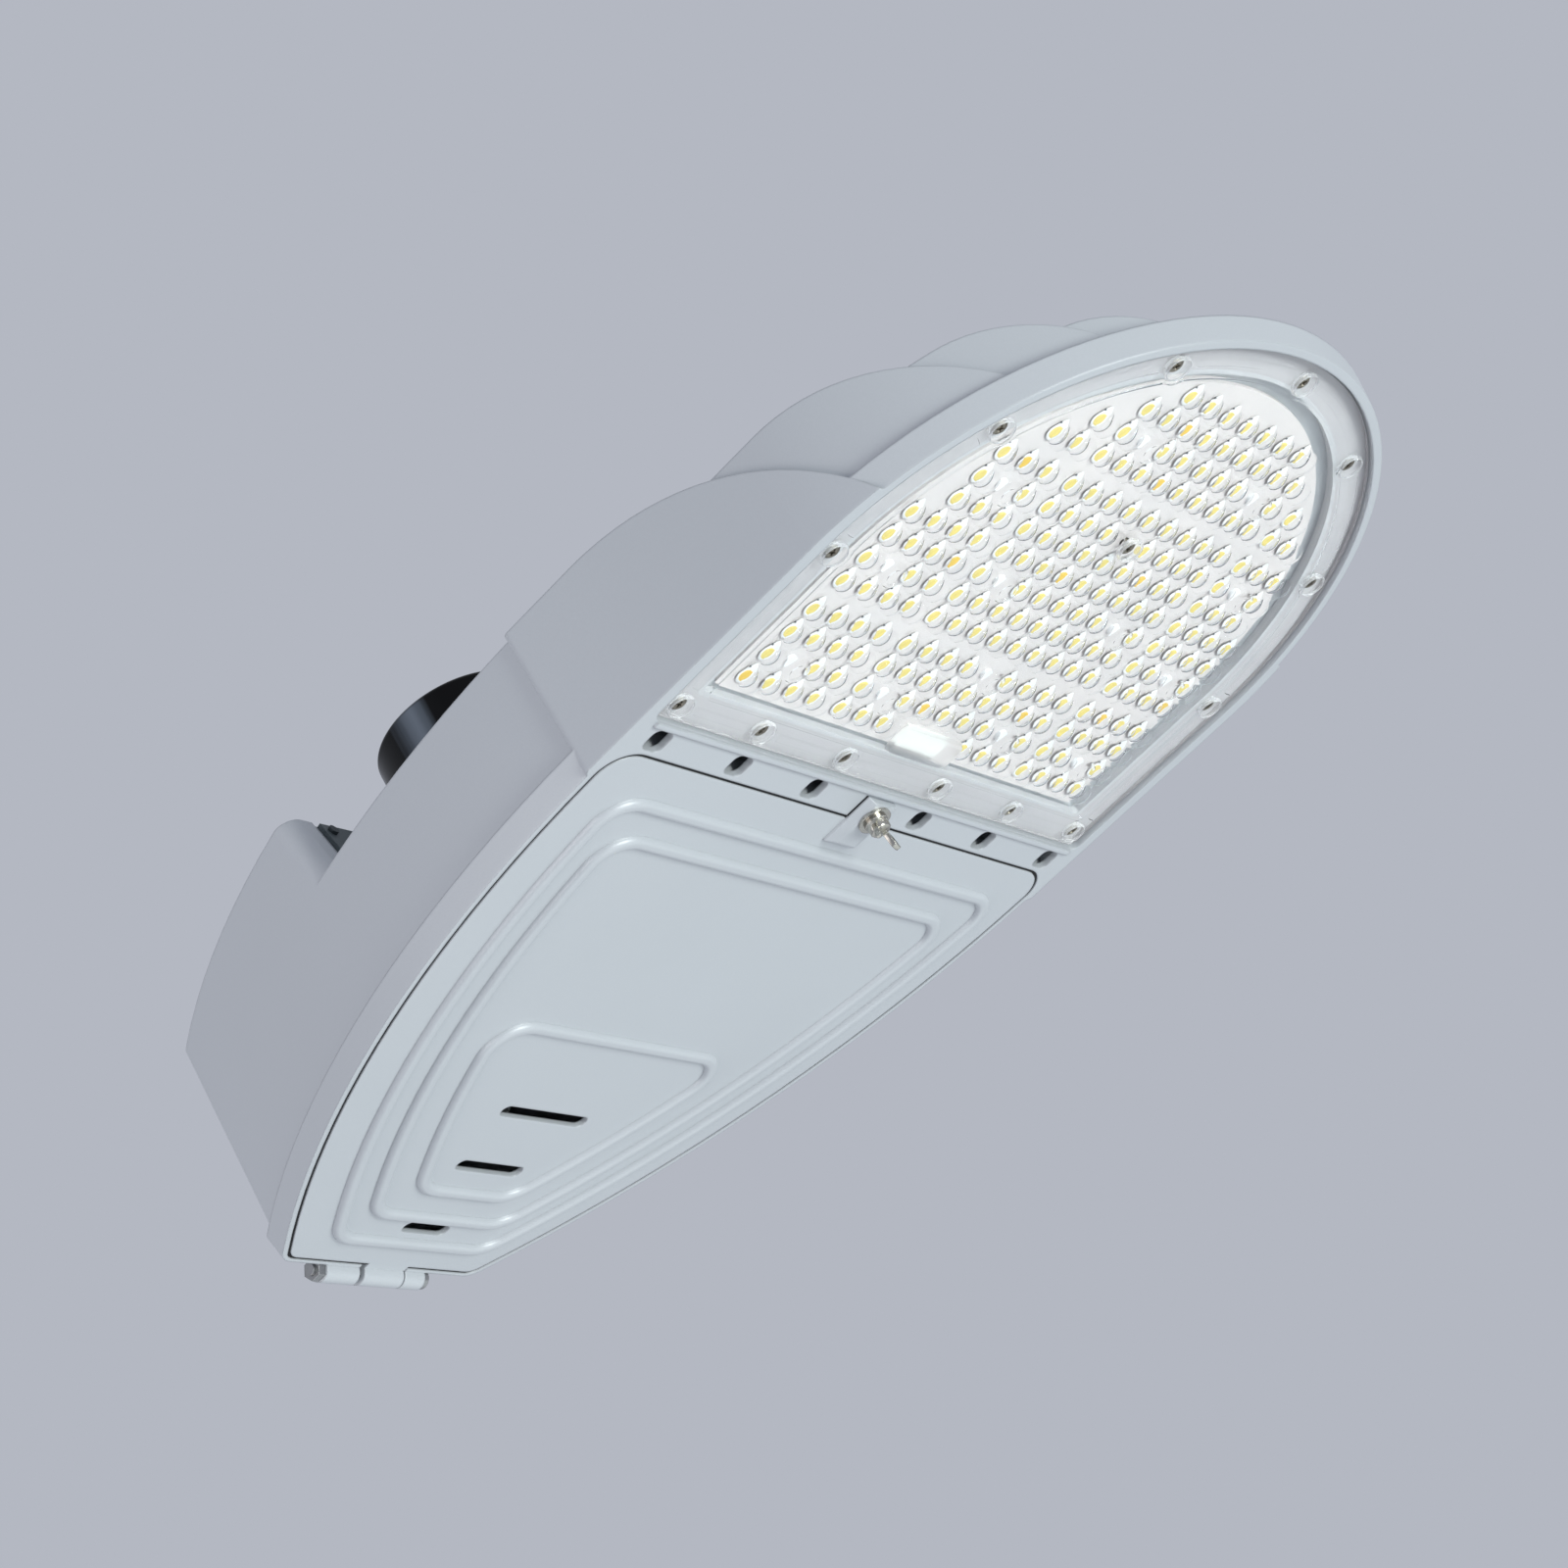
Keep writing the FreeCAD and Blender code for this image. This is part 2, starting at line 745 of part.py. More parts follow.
def bay_hollows():
    """The bay's inside below the deck, inside the tail block, and the door's rebate."""
    inner_half_inset = d.bay_step + d.wall
    inner_tail = bay_tail + d.wall
    mouth = tapered("bay_mouth", d.rim_flare + d.rim_land + d.seat_width,
                    inner_tail, d.tail_corner, d.seat_thick + 1, seat - 0.5)
    depth = d.deck_front_top + d.rim_drop
    bay_inside = tapered("bay_inside", inner_half_inset, inner_tail, d.tail_corner, depth,
                         seat + d.seat_thick)
    under_deck = crowned("under_deck", [(-20, rim_plane - 12), (-20, d.deck_rear_top - d.wall),
                                        (d.cell_place, d.deck_rear_top - d.wall),
                                        (d.duct_rear - d.wall, d.deck_front_top - d.wall),
                                        (d.duct_rear - d.wall, rim_plane - 12)], {})
    upper = common("bay_room", bay_inside, under_deck)
    lean = tangent(d.block_lean)
    room_front = d.block_foot - 2 * d.wall - lean * (d.block_front_top - d.deck_rear_top)
    block_inside = tapered("block_inside", inner_half_inset, inner_tail, d.tail_corner,
                           d.block_rear_top + d.rim_drop, seat + d.seat_thick)
    block_room = across("block_room", [(-20, rim_plane), (-20, d.block_rear_top - d.wall),
                                       (inner_tail, d.block_rear_top - d.wall),
                                       (room_front, d.block_front_top - d.wall),
                                       (room_front + lean * d.block_front_top, rim_plane)])
    block_upper = common("block_hollow", block_inside, block_room)
    mouth_front = box("mouth_front", (-20, d.duct_rear - d.wall),
                      (-d.head_radius, d.head_radius), (rim_plane - 1, seat + d.seat_thick + 1))
    mouth = common("mouth", mouth, mouth_front)
    rebate_plan = plan("rebate_plan", door_half + d.door_gap, door_tail - d.door_gap,
                       d.tail_corner - 2, front=door_front_edge + d.door_gap,
                       front_corner=d.door_corner_front + d.door_gap, taper=True,
                       taper_inset=d.rim_land, z=rim_plane - 1)
    rebate = prism("rebate", rebate_plan, d.seat_depth + 1)
    return [mouth, upper, block_upper, rebate]


def head_hollows():
    """The lens recess, the pocket for the heat sink, its throat and the room under the hoods."""
    recess = round_fronted("lens_recess_cut", lens_half + d.lens_gap, d.lens_rear - d.lens_gap,
                           d.lens_corner, d.lens_recess + d.lens_thick + 1, rim_plane - 1)
    pocket = round_fronted("sink_pocket", sink_half() + d.sink_gap, sink_rear() - d.sink_gap,
                           d.lens_corner, sink_back - lens_back + 0.5, lens_back - 0.5)
    throat = round_fronted("throat", d.head_radius - d.throat_inset, d.throat_rear,
                           d.lens_corner, ledge_top - sink_back + 1, sink_back - 0.5)
    rooms = []
    for name, top, start, radius, inset, rear in hoods:
        tail = d.bridge_front if name in ("hood_one", "hood_two") else rear
        rooms.append(hood(name + "_room", top, start, radius, inset, tail, d.wall, ledge_top,
                          d.wall))
    chamber_box = box("air_chamber_box", (d.duct_rear, d.duct_front),
                      (-d.duct_half, d.duct_half),
                      (rim_plane + d.bridge_thick, d.hood_one_top))
    under_hood = hood("air_chamber_room", d.hood_one_top, d.hood_one_start, d.hood_one_radius,
                      size(0), d.duct_rear - 10, d.wall, rim_plane + d.bridge_thick, d.wall)
    chamber = common("air_chamber", chamber_box, under_hood)
    return [recess, pocket, throat, chamber] + rooms


def sink_half():
    return lens_half - d.lens_land


def sink_rear():
    return d.lens_rear + d.lens_land


def housing_inner_walls():
    """Pole socket, hinge knuckles, latch boss, lip, deck bosses and the receptacle's seat."""
    sleeve = cylinder("socket_sleeve", d.socket_radius + d.socket_wall,
                      (bay_tail, d.socket_length + d.wall), 0, 0)
    reach = d.socket_radius + d.socket_wall
    web_top = box("socket_web_top", (bay_tail, d.socket_length), (-d.wall, d.wall),
                  (d.socket_radius, d.block_front_top - d.wall / 2))
    web_side = box("socket_web_side", (bay_tail, d.wall * 12), (-reach - 18, reach + 18),
                   (-d.wall / 2, d.wall / 2))
    walls = [sleeve, web_top, web_side]
    for name, x in (("rear", d.clamp_bolt_first), ("front", d.clamp_bolt_second)):
        walls.append(cylinder(f"clamp_boss_{name}", d.clamp_boss_radius, x, 0,
                              (-reach - d.clamp_boss_depth, -d.socket_radius)))
    for side, start, end in knuckle_spans():
        barrel = cylinder(f"housing_knuckle_{side}", d.knuckle_radius, hinge_x, (start, end),
                          hinge_z)
        web = box(f"housing_knuckle_web_{side}", (hinge_x, bay_tail + 0.5), (start, end),
                  (hinge_z, hinge_z + d.knuckle_radius))
        walls += [barrel, web]
    walls.append(box("latch_wall", (d.duct_rear - d.wall, d.duct_front + d.wall),
                     (d.latch_side - d.latch_boss_radius, d.latch_side + d.latch_boss_radius),
                     (rim_plane, rim_plane + d.latch_length + d.wall)))
    lip = box("lens_lip", (d.bridge_front - d.lip_width, d.bridge_front),
              (d.lip_width - lens_half, lens_half - d.lip_width),
              (rim_plane - d.lip_height, rim_plane + d.wall))
    walls.append(lip)
    for i, (x, y) in enumerate(driver_screw_places()):
        walls.append(cylinder(f"driver_boss_{i}", d.driver_boss_radius, x, y,
                              (driver_top(), under_deck_at(y) + d.wall / 2)))
    walls.append(cylinder("earth_boss", d.earth_boss, d.earth_place, d.earth_side,
                          (earth_seat(), under_deck_at(d.earth_side) + d.wall / 2)))
    return walls


def earth_seat():
    return under_deck_at(d.earth_side) - 6


def knuckle_spans():
    left = d.door_knuckle_left - d.knuckle_gap_left
    right = d.door_knuckle_right + d.knuckle_gap_right
    return [("left", left - d.knuckle_length_left, left),
            ("right", right, right + d.knuckle_length_right)]


def driver_top():
    return d.deck_rear_top - d.wall - d.bay_ceiling


def driver_screw_places():
    middle = (d.driver_rear + d.driver_front) / 2
    return [(middle, (d.driver_half + d.driver_foot / 2) * side) for side in (1, -1)]


def housing_holes():
    """Bores, threads and openings cut through the finished walls."""
    holes = [
        cylinder("socket_bore", d.socket_radius, (-10, d.socket_length), 0, 0),
        cylinder("cable_bore", d.cable_hole, (d.socket_length - 1, d.socket_length + d.wall + 1),
                 0, 0),
        cylinder("latch_bore", d.latch_radius + d.latch_bore_play, d.latch_place,
                 d.latch_side, (rim_plane - 1, rim_plane + d.latch_length)),
        cylinder("receptacle_bore", d.receptacle_body + 0.5, d.cell_place, 0,
                 (d.deck_rear_top - d.wall - 4, d.stand_top + 1)),
        cylinder("stand_room", d.stand_radius - d.wall, d.cell_place, 0,
                 (d.deck_rear_top - d.wall - 4, d.stand_top - 2 * d.wall)),
        cylinder("lead_bore", d.lead_hole_radius,
                 (d.duct_rear - d.wall - 1, d.bridge_front + 1), d.lead_hole_side,
                 -d.lead_hole_drop),
        cylinder("earth_thread", d.screw_radius + d.thread_play, d.earth_place, d.earth_side,
                 (earth_seat() - 1, earth_seat() + 6)),
        cylinder("pin_bore", d.pin_radius + d.pin_play / 2, hinge_x,
                 (knuckle_spans()[0][1] - 1, knuckle_spans()[1][2] + 1), hinge_z),
        box("knuckle_slot", (hinge_x - d.knuckle_radius - 1, bay_tail + 0.9),
            (knuckle_spans()[0][2], knuckle_spans()[1][1]),
            (rim_plane - 6, hinge_z + d.knuckle_radius + 0.8)),
    ]
    reach = d.socket_radius + d.socket_wall + d.clamp_boss_depth
    for i, x in enumerate((d.clamp_bolt_first, d.clamp_bolt_second)):
        holes.append(cylinder(f"clamp_thread_{i}", d.clamp_bolt_radius + d.thread_play, x, 0,
                              (-reach - 1, -d.socket_radius + 1)))
    for i, (x, y) in enumerate(lens_screw_places()):
        holes.append(cylinder(f"lens_thread_{i}", d.screw_radius + d.thread_play, x, y,
                              (sink_back - 1, lens_face + d.screw_length)))
    for i, (x, y) in enumerate(driver_screw_places()):
        holes.append(cylinder(f"driver_thread_{i}", d.screw_radius + d.thread_play, x, y,
                              (driver_top() - 1, driver_top() + 3)))
    for place_y in (d.air_hole_inner, d.air_hole_middle, d.air_hole_outer):
        for side in (1, -1):
            holes.append(air_hole(f"air_hole_{len(holes)}", place_y * side))
    for side in (1, -1):
        holes.append(side_plate(f"plate_recess_{side + 1}", side, d.plate_frame,
                                -d.plate_recess, d.plate_recess + 6))
    return holes


def air_hole(name, y):
    """A rounded square hole through the bridge."""
    across_x, across_y = d.air_hole_wide / 2, d.air_hole_long / 2
    block = box(name + "_block", (d.air_hole_place - across_x, d.air_hole_place + across_x),
                (y - across_y, y + across_y), (rim_plane - 1, rim_plane + d.bridge_thick + 1))
    return round_edges(name, block, d.air_hole_corner, lambda edge: edge.BoundBox.ZLength > 1)


def plate_outer():
    return d.head_radius - d.plate_margin


def side_plate(name, side, grow, low, high):
    """A flat block on the tail block's leaning front face, beside the photocell stand."""
    obj = doc.addObject("Part::Box", name)
    inner, outer = d.plate_inner - grow, plate_outer() + grow
    tall = (d.block_front_top - d.plate_low) + 2 * size(grow)
    bind(obj, Length=size(high) - low, Width=outer - inner, Height=tall)
    lean = d.block_lean
    obj.Placement = Placement(Vector(), Rotation(Vector(0, 1, 0), -lean.value))
    obj.setExpression("Placement.Rotation.Angle", f"-1 * {lean.text}")
    foot_z = d.plate_low - grow
    slope = tangent(lean)
    foot_x = d.block_foot - slope * (foot_z - d.deck_rear_top)
    y = inner if side > 0 else -outer
    return place(obj, foot_x + low, y, foot_z)


def door():
    """Die-cast door under the wiring bay: plate, three beads, vents, tab, rib and knuckle."""
    def outline(name, inset, front, corner, front_corner, z):
        return plan(name, door_half - inset, door_tail + inset, corner, front=front,
                    front_corner=front_corner, taper=True,
                    taper_inset=d.rim_land + d.door_gap + inset, z=z)
    plate = prism("door_plate", outline("door_plan", size(0), door_front_edge,
                                        d.tail_corner - 2, d.door_corner_front, rim_plane),
                  d.door_thick)
    parts = [plate,
             bead("bead_one", d.bead_one_inset, d.bead_one_tail, d.bead_one_front),
             bead("bead_two", d.bead_two_inset, d.bead_two_tail, d.bead_two_front),
             bead("bead_three", d.bead_three_inset, d.bead_three_tail, d.bead_three_front)]
    rib_inset = d.seat_width + 3.4
    rib_outer = prism("rib_outer", outline("rib_outer_plan", rib_inset,
                                           door_front_edge - rib_inset, size(7), size(9),
                                           door_back - 1), d.door_rib_height + 1)
    rib_step = rib_inset + d.door_rib_thick
    rib_inner = prism("rib_inner", outline("rib_inner_plan", rib_step,
                                           door_front_edge - rib_step, size(5), size(7),
                                           door_back - 1), d.door_rib_height + 1)
    parts.append(cut("door_rib", rib_outer, [rib_inner]))
    parts += [latch_tab(), *door_knuckle()]
    holes = [vent("vent_one", d.vent_one_place, d.vent_one_length),
             vent("vent_two", d.vent_two_place, d.vent_two_length),
             vent("vent_three", d.vent_three_place, d.vent_three_length),
             cylinder("door_pin_bore", d.pin_radius + d.pin_play, hinge_x, (-60, 60), hinge_z),
             cylinder("tab_bore", d.latch_radius + d.latch_play, d.latch_place, d.latch_side,
                      (tab_face - 1, rim_plane + 5))]
    return cut("door", fuse("door_full", parts), holes)


def bead(name, inset, tail, front):
    """A raised, rounded ridge that runs round the door at an even distance from its sides."""
    low = rim_plane - d.bead_height
    tall = d.bead_height + d.door_thick / 2
    def loop(part, by):
        outline = plan(f"{name}_{part}_plan", door_half - inset - by, tail + by, 20 - by,
                       front=front - by, front_corner=17 - by, taper=True,
                       taper_inset=d.rim_land + d.door_gap + inset + by, z=low)
        return prism(f"{name}_{part}", bind(outline, Placement__Base__y=d.door_middle), tall)
    ring = cut(name, loop("outer", size(0)), [loop("inner", d.bead_width)])
    return round_edges(name + "_round", ring, d.bead_height - 0.1, at_height(low))


def latch_tab():
    """The raised tab that reaches from the door over the bridge; its flanks slope down."""
    foot = d.tab_width / 2
    low = box("tab_block", (d.tab_rear, d.tab_front), (d.latch_side - foot, d.latch_side + foot),
              (tab_face, rim_plane))
    doc.recompute()
    obj = doc.addObject("Part::Chamfer", "latch_tab")
    obj.Base = low
    face_z = tab_face.value
    picked = [i for i, edge in enumerate(low.Shape.Edges, start=1)
              if at_height(tab_face)(edge) and edge.BoundBox.XMin < d.tab_front.value - 1]
    slope = d.tab_slope.value
    obj.Edges = [(i, slope, slope) for i in picked]
    return obj


def door_knuckle():
    span = (d.door_knuckle_left, d.door_knuckle_right)
    barrel = cylinder("door_barrel", d.knuckle_radius, hinge_x, span, hinge_z)
    neck = box("door_neck", (hinge_x, door_tail + 2), span, (rim_plane, door_back))
    return [barrel, neck]


def vent(name, x, length):
    """A slot across the door with round ends."""
    half, radius = length / 2 - d.vent_width / 2, d.vent_width / 2
    right, left = d.door_middle - half, d.door_middle + half
    heights = (rim_plane - 5, door_back + 1)
    return fuse(name, [box(name + "_middle", (x - radius, x + radius), (right, left), heights),
                       cylinder(name + "_left", radius, x, left, heights),
                       cylinder(name + "_right", radius, x, right, heights)])


def door_gasket():
    """Foam strip glued inside the door's edge; it meets the seat under the bay."""
    def loop(name, inset, front_corner, corner):
        return prism(name, plan(name + "_plan", door_half - inset, door_tail + inset, corner,
                                front=door_front_edge - inset, front_corner=front_corner,
                                taper=True, taper_inset=d.rim_land + d.door_gap + inset,
                                z=door_back), seat - door_back)
    return cut("door_gasket", loop("gasket_outside", size(1), size(12), size(7)),
               [loop("gasket_inside", d.seat_width - 0.8, size(10), size(5))])


def hinge_pin():
    left, right = knuckle_spans()[0][1], knuckle_spans()[1][2]
    shank = cylinder("pin_shank", d.pin_radius, hinge_x, (left - 5.5, right), hinge_z)
    head = cylinder("pin_head", d.pin_radius + 2, hinge_x, (right, right + 3), hinge_z)
    return fuse("hinge_pin", [shank, head])


def hex_bar(name, across_flats, length):
    obj = doc.addObject("Part::Prism", name)
    obj.Polygon = 6
    return bind(obj, Circumradius=size(across_flats) / math.sqrt(3), Height=length)


def hinge_nut():
    left = knuckle_spans()[0][1]
    nut = hex_bar("nut_blank", 8, size(4))
    nut.Placement = Placement(Vector(), Rotation(Vector(1, 0, 0), 90))
    place(nut, hinge_x, left, hinge_z)
    bore = cylinder("nut_bore", d.pin_radius, hinge_x, (left - 6, left + 1), hinge_z)
    return cut("hinge_nut", nut, [bore])


def wing_washer():
    heights = (tab_face - d.washer_thick, tab_face)
    ring = cylinder("washer_disc", d.washer_radius, d.latch_place, d.latch_side, heights)
    hole = cylinder("washer_hole", d.latch_radius + 0.3, d.latch_place, d.latch_side,
                    (heights[0] - 1, heights[1] + 1))
    return cut("wing_washer", ring, [hole])


def wing_screw():
    """Stainless wing screw: a round hub, two upright wings and the threaded shank."""
    seat_z = tab_face - d.washer_thick
    hub = cylinder("wing_hub", d.hub_radius, d.latch_place, d.latch_side,
                   (seat_z - d.hub_height, seat_z))
    shank = cylinder("wing_shank", d.latch_radius, d.latch_place, d.latch_side,
                     (seat_z - 1, rim_plane + d.latch_length - 2))
    parts = [hub, shank]
    half = d.wing_span / 2
    for side in (1, -1):
        wing = doc.addObject("Part::Wedge", f"wing_{side + 1}")
        bind(wing, Xmin=-d.wing_thick / 2, Xmax=d.wing_thick / 2, X2min=-d.wing_thick / 2,
             X2max=d.wing_thick / 2, Ymin=0, Ymax=d.wing_rise, Zmin=d.hub_radius * 0.3,
             Zmax=half * 0.8, Z2min=half * 0.55, Z2max=half)
        turn = Rotation(Vector(0, 0, 1), d.wing_turn.value + (0 if side > 0 else 180))
        wing.Placement = Placement(Vector(), turn * Rotation(Vector(1, 0, 0), -90))
        place(wing, d.latch_place, d.latch_side, seat_z - d.hub_height / 2)
        parts.append(wing)
    return fuse("wing_screw", parts)


def lens_plate():
    """Clear moulded plate: flat border with steps, one dome over each LED, connector hump."""
    sheet_body = round_fronted("lens_sheet", lens_half, d.lens_rear, d.lens_corner,
                               d.lens_thick, lens_face)
    step_high = d.step_height + d.lens_thick / 2
    step_outer = round_fronted("lens_step_outer", lens_half - d.step_inset,
                               d.lens_rear + d.step_inset, d.lens_corner, step_high,
                               lens_face - d.step_height)
    step_inset = d.step_inset + d.step_width
    step_inner = round_fronted("lens_step_inner", lens_half - step_inset,
                               d.lens_rear + step_inset, d.lens_corner - 1, step_high + 2,
                               lens_face - d.step_height - 1)
    step = cut("lens_step", step_outer, [step_inner])
    hump_block = box("hump_block", (d.board_rear - 1, d.board_rear - 1 + d.connector_wide),
                     (-d.connector_long / 2, d.connector_long / 2),
                     (lens_face - d.connector_rise, lens_back))
    hump = round_edges("lens_hump", hump_block, d.connector_rise - 0.2,
                       at_height(lens_face - d.connector_rise))
    screws = lens_screw_places() + [led_place(*centre_screw_spot)]
    rings = [cylinder(f"lens_ring_{i}", d.ring_radius, x, y,
                      (lens_face - d.ring_rise, lens_face + d.lens_thick / 2))
             for i, (x, y) in enumerate(screws)]
    blinds = [cylinder(f"lens_blind_{i}", d.blind_radius, x, y,
                       (lens_face - d.blind_height, lens_face + d.lens_thick / 2))
              for i, (x, y) in enumerate(led_place(*spot) for spot in board_screw_spots)]
    tools = [cylinder(f"lens_bore_{i}", d.ring_bore, x, y,
                      (lens_face - d.ring_rise - 1, lens_face + d.ring_sink))
             for i, (x, y) in enumerate(screws)]
    tools += [cylinder(f"lens_hole_{i}", d.screw_hole, x, y, (lens_face, lens_back + 1))
              for i, (x, y) in enumerate(screws)]
    hump_room = box("hump_room", (d.board_rear + 1, d.board_rear + d.connector_wide - 3),
                    (2 - d.connector_long / 2, d.connector_long / 2 - 2),
                    (lens_face - d.connector_rise + 1.5, lens_back + 1))
    flat = cut("lens_flat", fuse("lens_full", [sheet_body, step, hump] + rings + blinds),
               tools + [hump_room])
    doc.recompute()
    obj = doc.addObject("Part::Feature", "lens_plate")
    obj.Shape = flat.Shape.fuse([eight_sided_dome(x.value + d.dome_shift.value, y.value)
                                 for x, y in led_places()])
    return obj


def eight_sided_dome(x, y):
    """A lens dome in plain facets, from its foot to a smaller flat top."""
    sides = 8
    wires = []
    low = lens_face.value - d.dome_height.value
    for radius, z in ((d.dome_radius.value, lens_face.value + 0.2), (d.dome_radius.value * 0.5, low)):
        ring = [Vector(x + radius * math.cos(2 * math.pi * (k + 0.5) / sides),
                       y + radius * math.sin(2 * math.pi * (k + 0.5) / sides), z)
                for k in range(sides)]
        wires.append(Part.makePolygon(ring + ring[:1]))
    return Part.makeLoft(wires, True, True)


def lens_gasket():
    outer = round_fronted("lens_gasket_outer", sink_half() - d.gasket_inset,
                          sink_rear() + d.gasket_inset, d.lens_corner, board_back - lens_back,
                          lens_back)
    inner = round_fronted("lens_gasket_inner", sink_half() - d.gasket_inset - d.gasket_width,
                          sink_rear() + d.gasket_inset + d.gasket_width, d.lens_corner - 2,
                          board_back - lens_back + 2, lens_back - 1)
    holes = [cylinder(f"gasket_hole_{i}", d.screw_hole, x, y, (lens_back - 1, board_back + 1))
             for i, (x, y) in enumerate(lens_screw_places())]
    return cut("lens_gasket", outer, [inner] + holes)


def pan_screw(name, x, y, seat_z, length, radius, head_radius, head_height):
    """A pan head screw that points up, its head below seat_z."""
    head = cylinder(name + "_head", head_radius, x, y, (seat_z - head_height, seat_z))
    shank = cylinder(name + "_shank", radius, x, y, (seat_z - 0.2, seat_z + length))
    return fuse(name, [head, shank])


def lens_screws():
    seat_z = lens_face + d.ring_sink
    screws = [pan_screw(f"lens_screw_{i}", x, y, seat_z, d.screw_length - 1, d.screw_radius,
                        d.screw_head, d.screw_head_height)
              for i, (x, y) in enumerate(lens_screw_places())]
    x, y = led_place(*centre_screw_spot)
    screws.append(pan_screw("lens_screw_centre", x, y, seat_z, sink_back - seat_z - 0.5,
                            d.screw_radius, d.screw_head, d.screw_head_height))
    return group("lens_screws", screws)


def heat_sink():
    """Finned plate that carries the LED board and closes the room under the hoods."""
    plate = round_fronted("sink_plate_body", sink_half(), sink_rear(), d.lens_corner,
                          d.sink_plate, board_back)
    fins = []
    count = 11
    for i in range(count):
        y = d.fin_first + d.fin_pitch * i
        bow = 0.42 * abs(i - (count - 1) / 2) ** 2
        fins.append(box(f"fin_{i}", (d.fin_rear, d.fin_front - 1.4 * bow),
                        (y - d.fin_thick / 2, y + d.fin_thick / 2),
                        (sink_back - 0.5, d.fin_top - 0.2 * bow)))
    holes = [cylinder(f"sink_hole_{i}", d.screw_hole, x, y, (board_back - 1, sink_back + 1))
             for i, (x, y) in enumerate(lens_screw_places())]
    holes += [cylinder(f"sink_thread_{i}", d.board_screw_radius + d.thread_play, x, y,
                       (board_back - 1, sink_back + 1))
              for i, (x, y) in enumerate(led_place(*spot) for spot in board_screw_spots)]
    x, y = led_place(*centre_screw_spot)
    holes.append(cylinder("sink_thread_centre", d.screw_radius + d.thread_play, x, y,
                          (board_back - 1, sink_back + 1)))
    holes.append(cylinder("sink_lead_hole", d.lead_radius + 1,
                          d.board_rear + d.connector_wide / 2, d.fin_pitch / 2,
                          (board_back - 1, sink_back + 1)))
    return cut("heat_sink", fuse("sink_full", [plate] + fins), holes)


def led_board():
    board = round_fronted("board_body", d.head_radius - d.board_inset, d.board_rear,
                          d.lens_corner - 2, d.board_thick, board_face)
    holes = [cylinder(f"board_hole_{i}", d.board_screw_radius + d.thread_play, x, y,
                      (board_face - 1, board_back + 1))
             for i, (x, y) in enumerate(led_place(*spot) for spot in board_screw_spots)]
    x, y = led_place(*centre_screw_spot)
    holes.append(cylinder("board_hole_centre", d.screw_hole, x, y,
                          (board_face - 1, board_back + 1)))
    return cut("led_board", board, holes)


def led_packages():
    """One square package under each dome; the row and column gaps come from led_places."""
    half = d.led_size.value / 2
    top = board_face.value
    doc.recompute()
    obj = doc.addObject("Part::Feature", "led_packages")
    obj.Shape = Part.makeCompound([
        Part.makeBox(2 * half, 2 * half, d.led_thick.value,
                     Vector(x.value - half, y.value - half, top - d.led_thick.value))
        for x, y in led_places()])
    return obj


def board_screws():
    return group("board_screws", [
        pan_screw(f"board_screw_{i}", x, y, board_face, d.board_thick + d.sink_plate - 0.5,
                  d.board_screw_radius, d.board_screw_head, size(0.9))
        for i, (x, y) in enumerate(led_place(*spot) for spot in board_screw_spots)])


def led_connector():
    """Plug-in terminal on the board, under the hump of the lens plate."""
    x = d.board_rear + d.connector_wide / 2 - 2
    block = box("connector_block", (x - d.plug_wide / 2, x + d.plug_wide / 2),
                (-d.plug_long / 2, d.plug_long / 2), (board_face - d.plug_thick, board_face))
    return round_edges("led_connector", block, size(0.6), at_height(board_face - d.plug_thick))


def photocell():
    """Black photocell cap, hollow, closed by a base that carries three locking blades."""
    low = cell_seat()
    shell = cylinder("cell_shell", d.cell_radius, d.cell_place, 0, (low, d.cell_top))
    rounded = round_edges("cell_rounded", shell, d.cell_edge, at_height(d.cell_top))
    room = cylinder("cell_room", d.cell_radius - d.cell_wall, d.cell_place, 0,
                    (low - 1, d.cell_top - d.cell_wall))
    return cut("photocell_cap", rounded, [room])


def cell_seat():
    return d.stand_top + d.receptacle_plate + d.cell_gasket


def photocell_base():
    low = cell_seat()
    return cylinder("photocell_base", d.cell_radius - d.cell_wall, d.cell_place, 0,
                    (low, low + 3))


def ring_sector(name, radius, thick, start, sweep, heights):
    """Part of a ring about the photocell's axis, from the angle start through sweep."""
    outer = doc.addObject("Part::Cylinder", name + "_outer")
    bind(outer, Radius=size(radius) + size(thick) / 2, Height=heights[1] - heights[0],
         Angle=sweep)
    inner = doc.addObject("Part::Cylinder", name + "_inner")
    bind(inner, Radius=size(radius) - size(thick) / 2, Height=heights[1] - heights[0] + 2)
    for obj, z, angle in ((outer, heights[0], start), (inner, heights[0] - 1, 0)):
        obj.Placement = Placement(Vector(), Rotation(Vector(0, 0, 1), angle))
        place(obj, d.cell_place, 0, z)
    return cut(name, outer, [inner])


def photocell_blades():
    low = cell_seat()
    return group("photocell_blades", [
        ring_sector(f"blade_{i}", d.blade_circle, d.blade_thick, 120 * i, d.blade_sweep,
                    (low - d.blade_length, low))
        for i in range(3)])


def receptacle():
    """Twist-lock socket in the stand; its three curved slots leave the blades their twist."""
    flange = cylinder("receptacle_flange", d.receptacle_radius, d.cell_place, 0,
                      (d.stand_top, d.stand_top + d.receptacle_plate))
    body = cylinder("receptacle_core", d.receptacle_body, d.cell_place, 0,
                    (d.stand_top - d.receptacle_depth, d.stand_top + 1))
    low = cell_seat()
    slots = [ring_sector(f"blade_slot_{i}", d.blade_circle, d.blade_thick + 2 * d.slot_play,
                         120 * i - 4, d.slot_sweep,
                         (low - d.blade_length - 1, d.stand_top + d.receptacle_plate + 1))
             for i in range(3)]
    return cut("photocell_receptacle", fuse("receptacle_full", [flange, body]), slots)


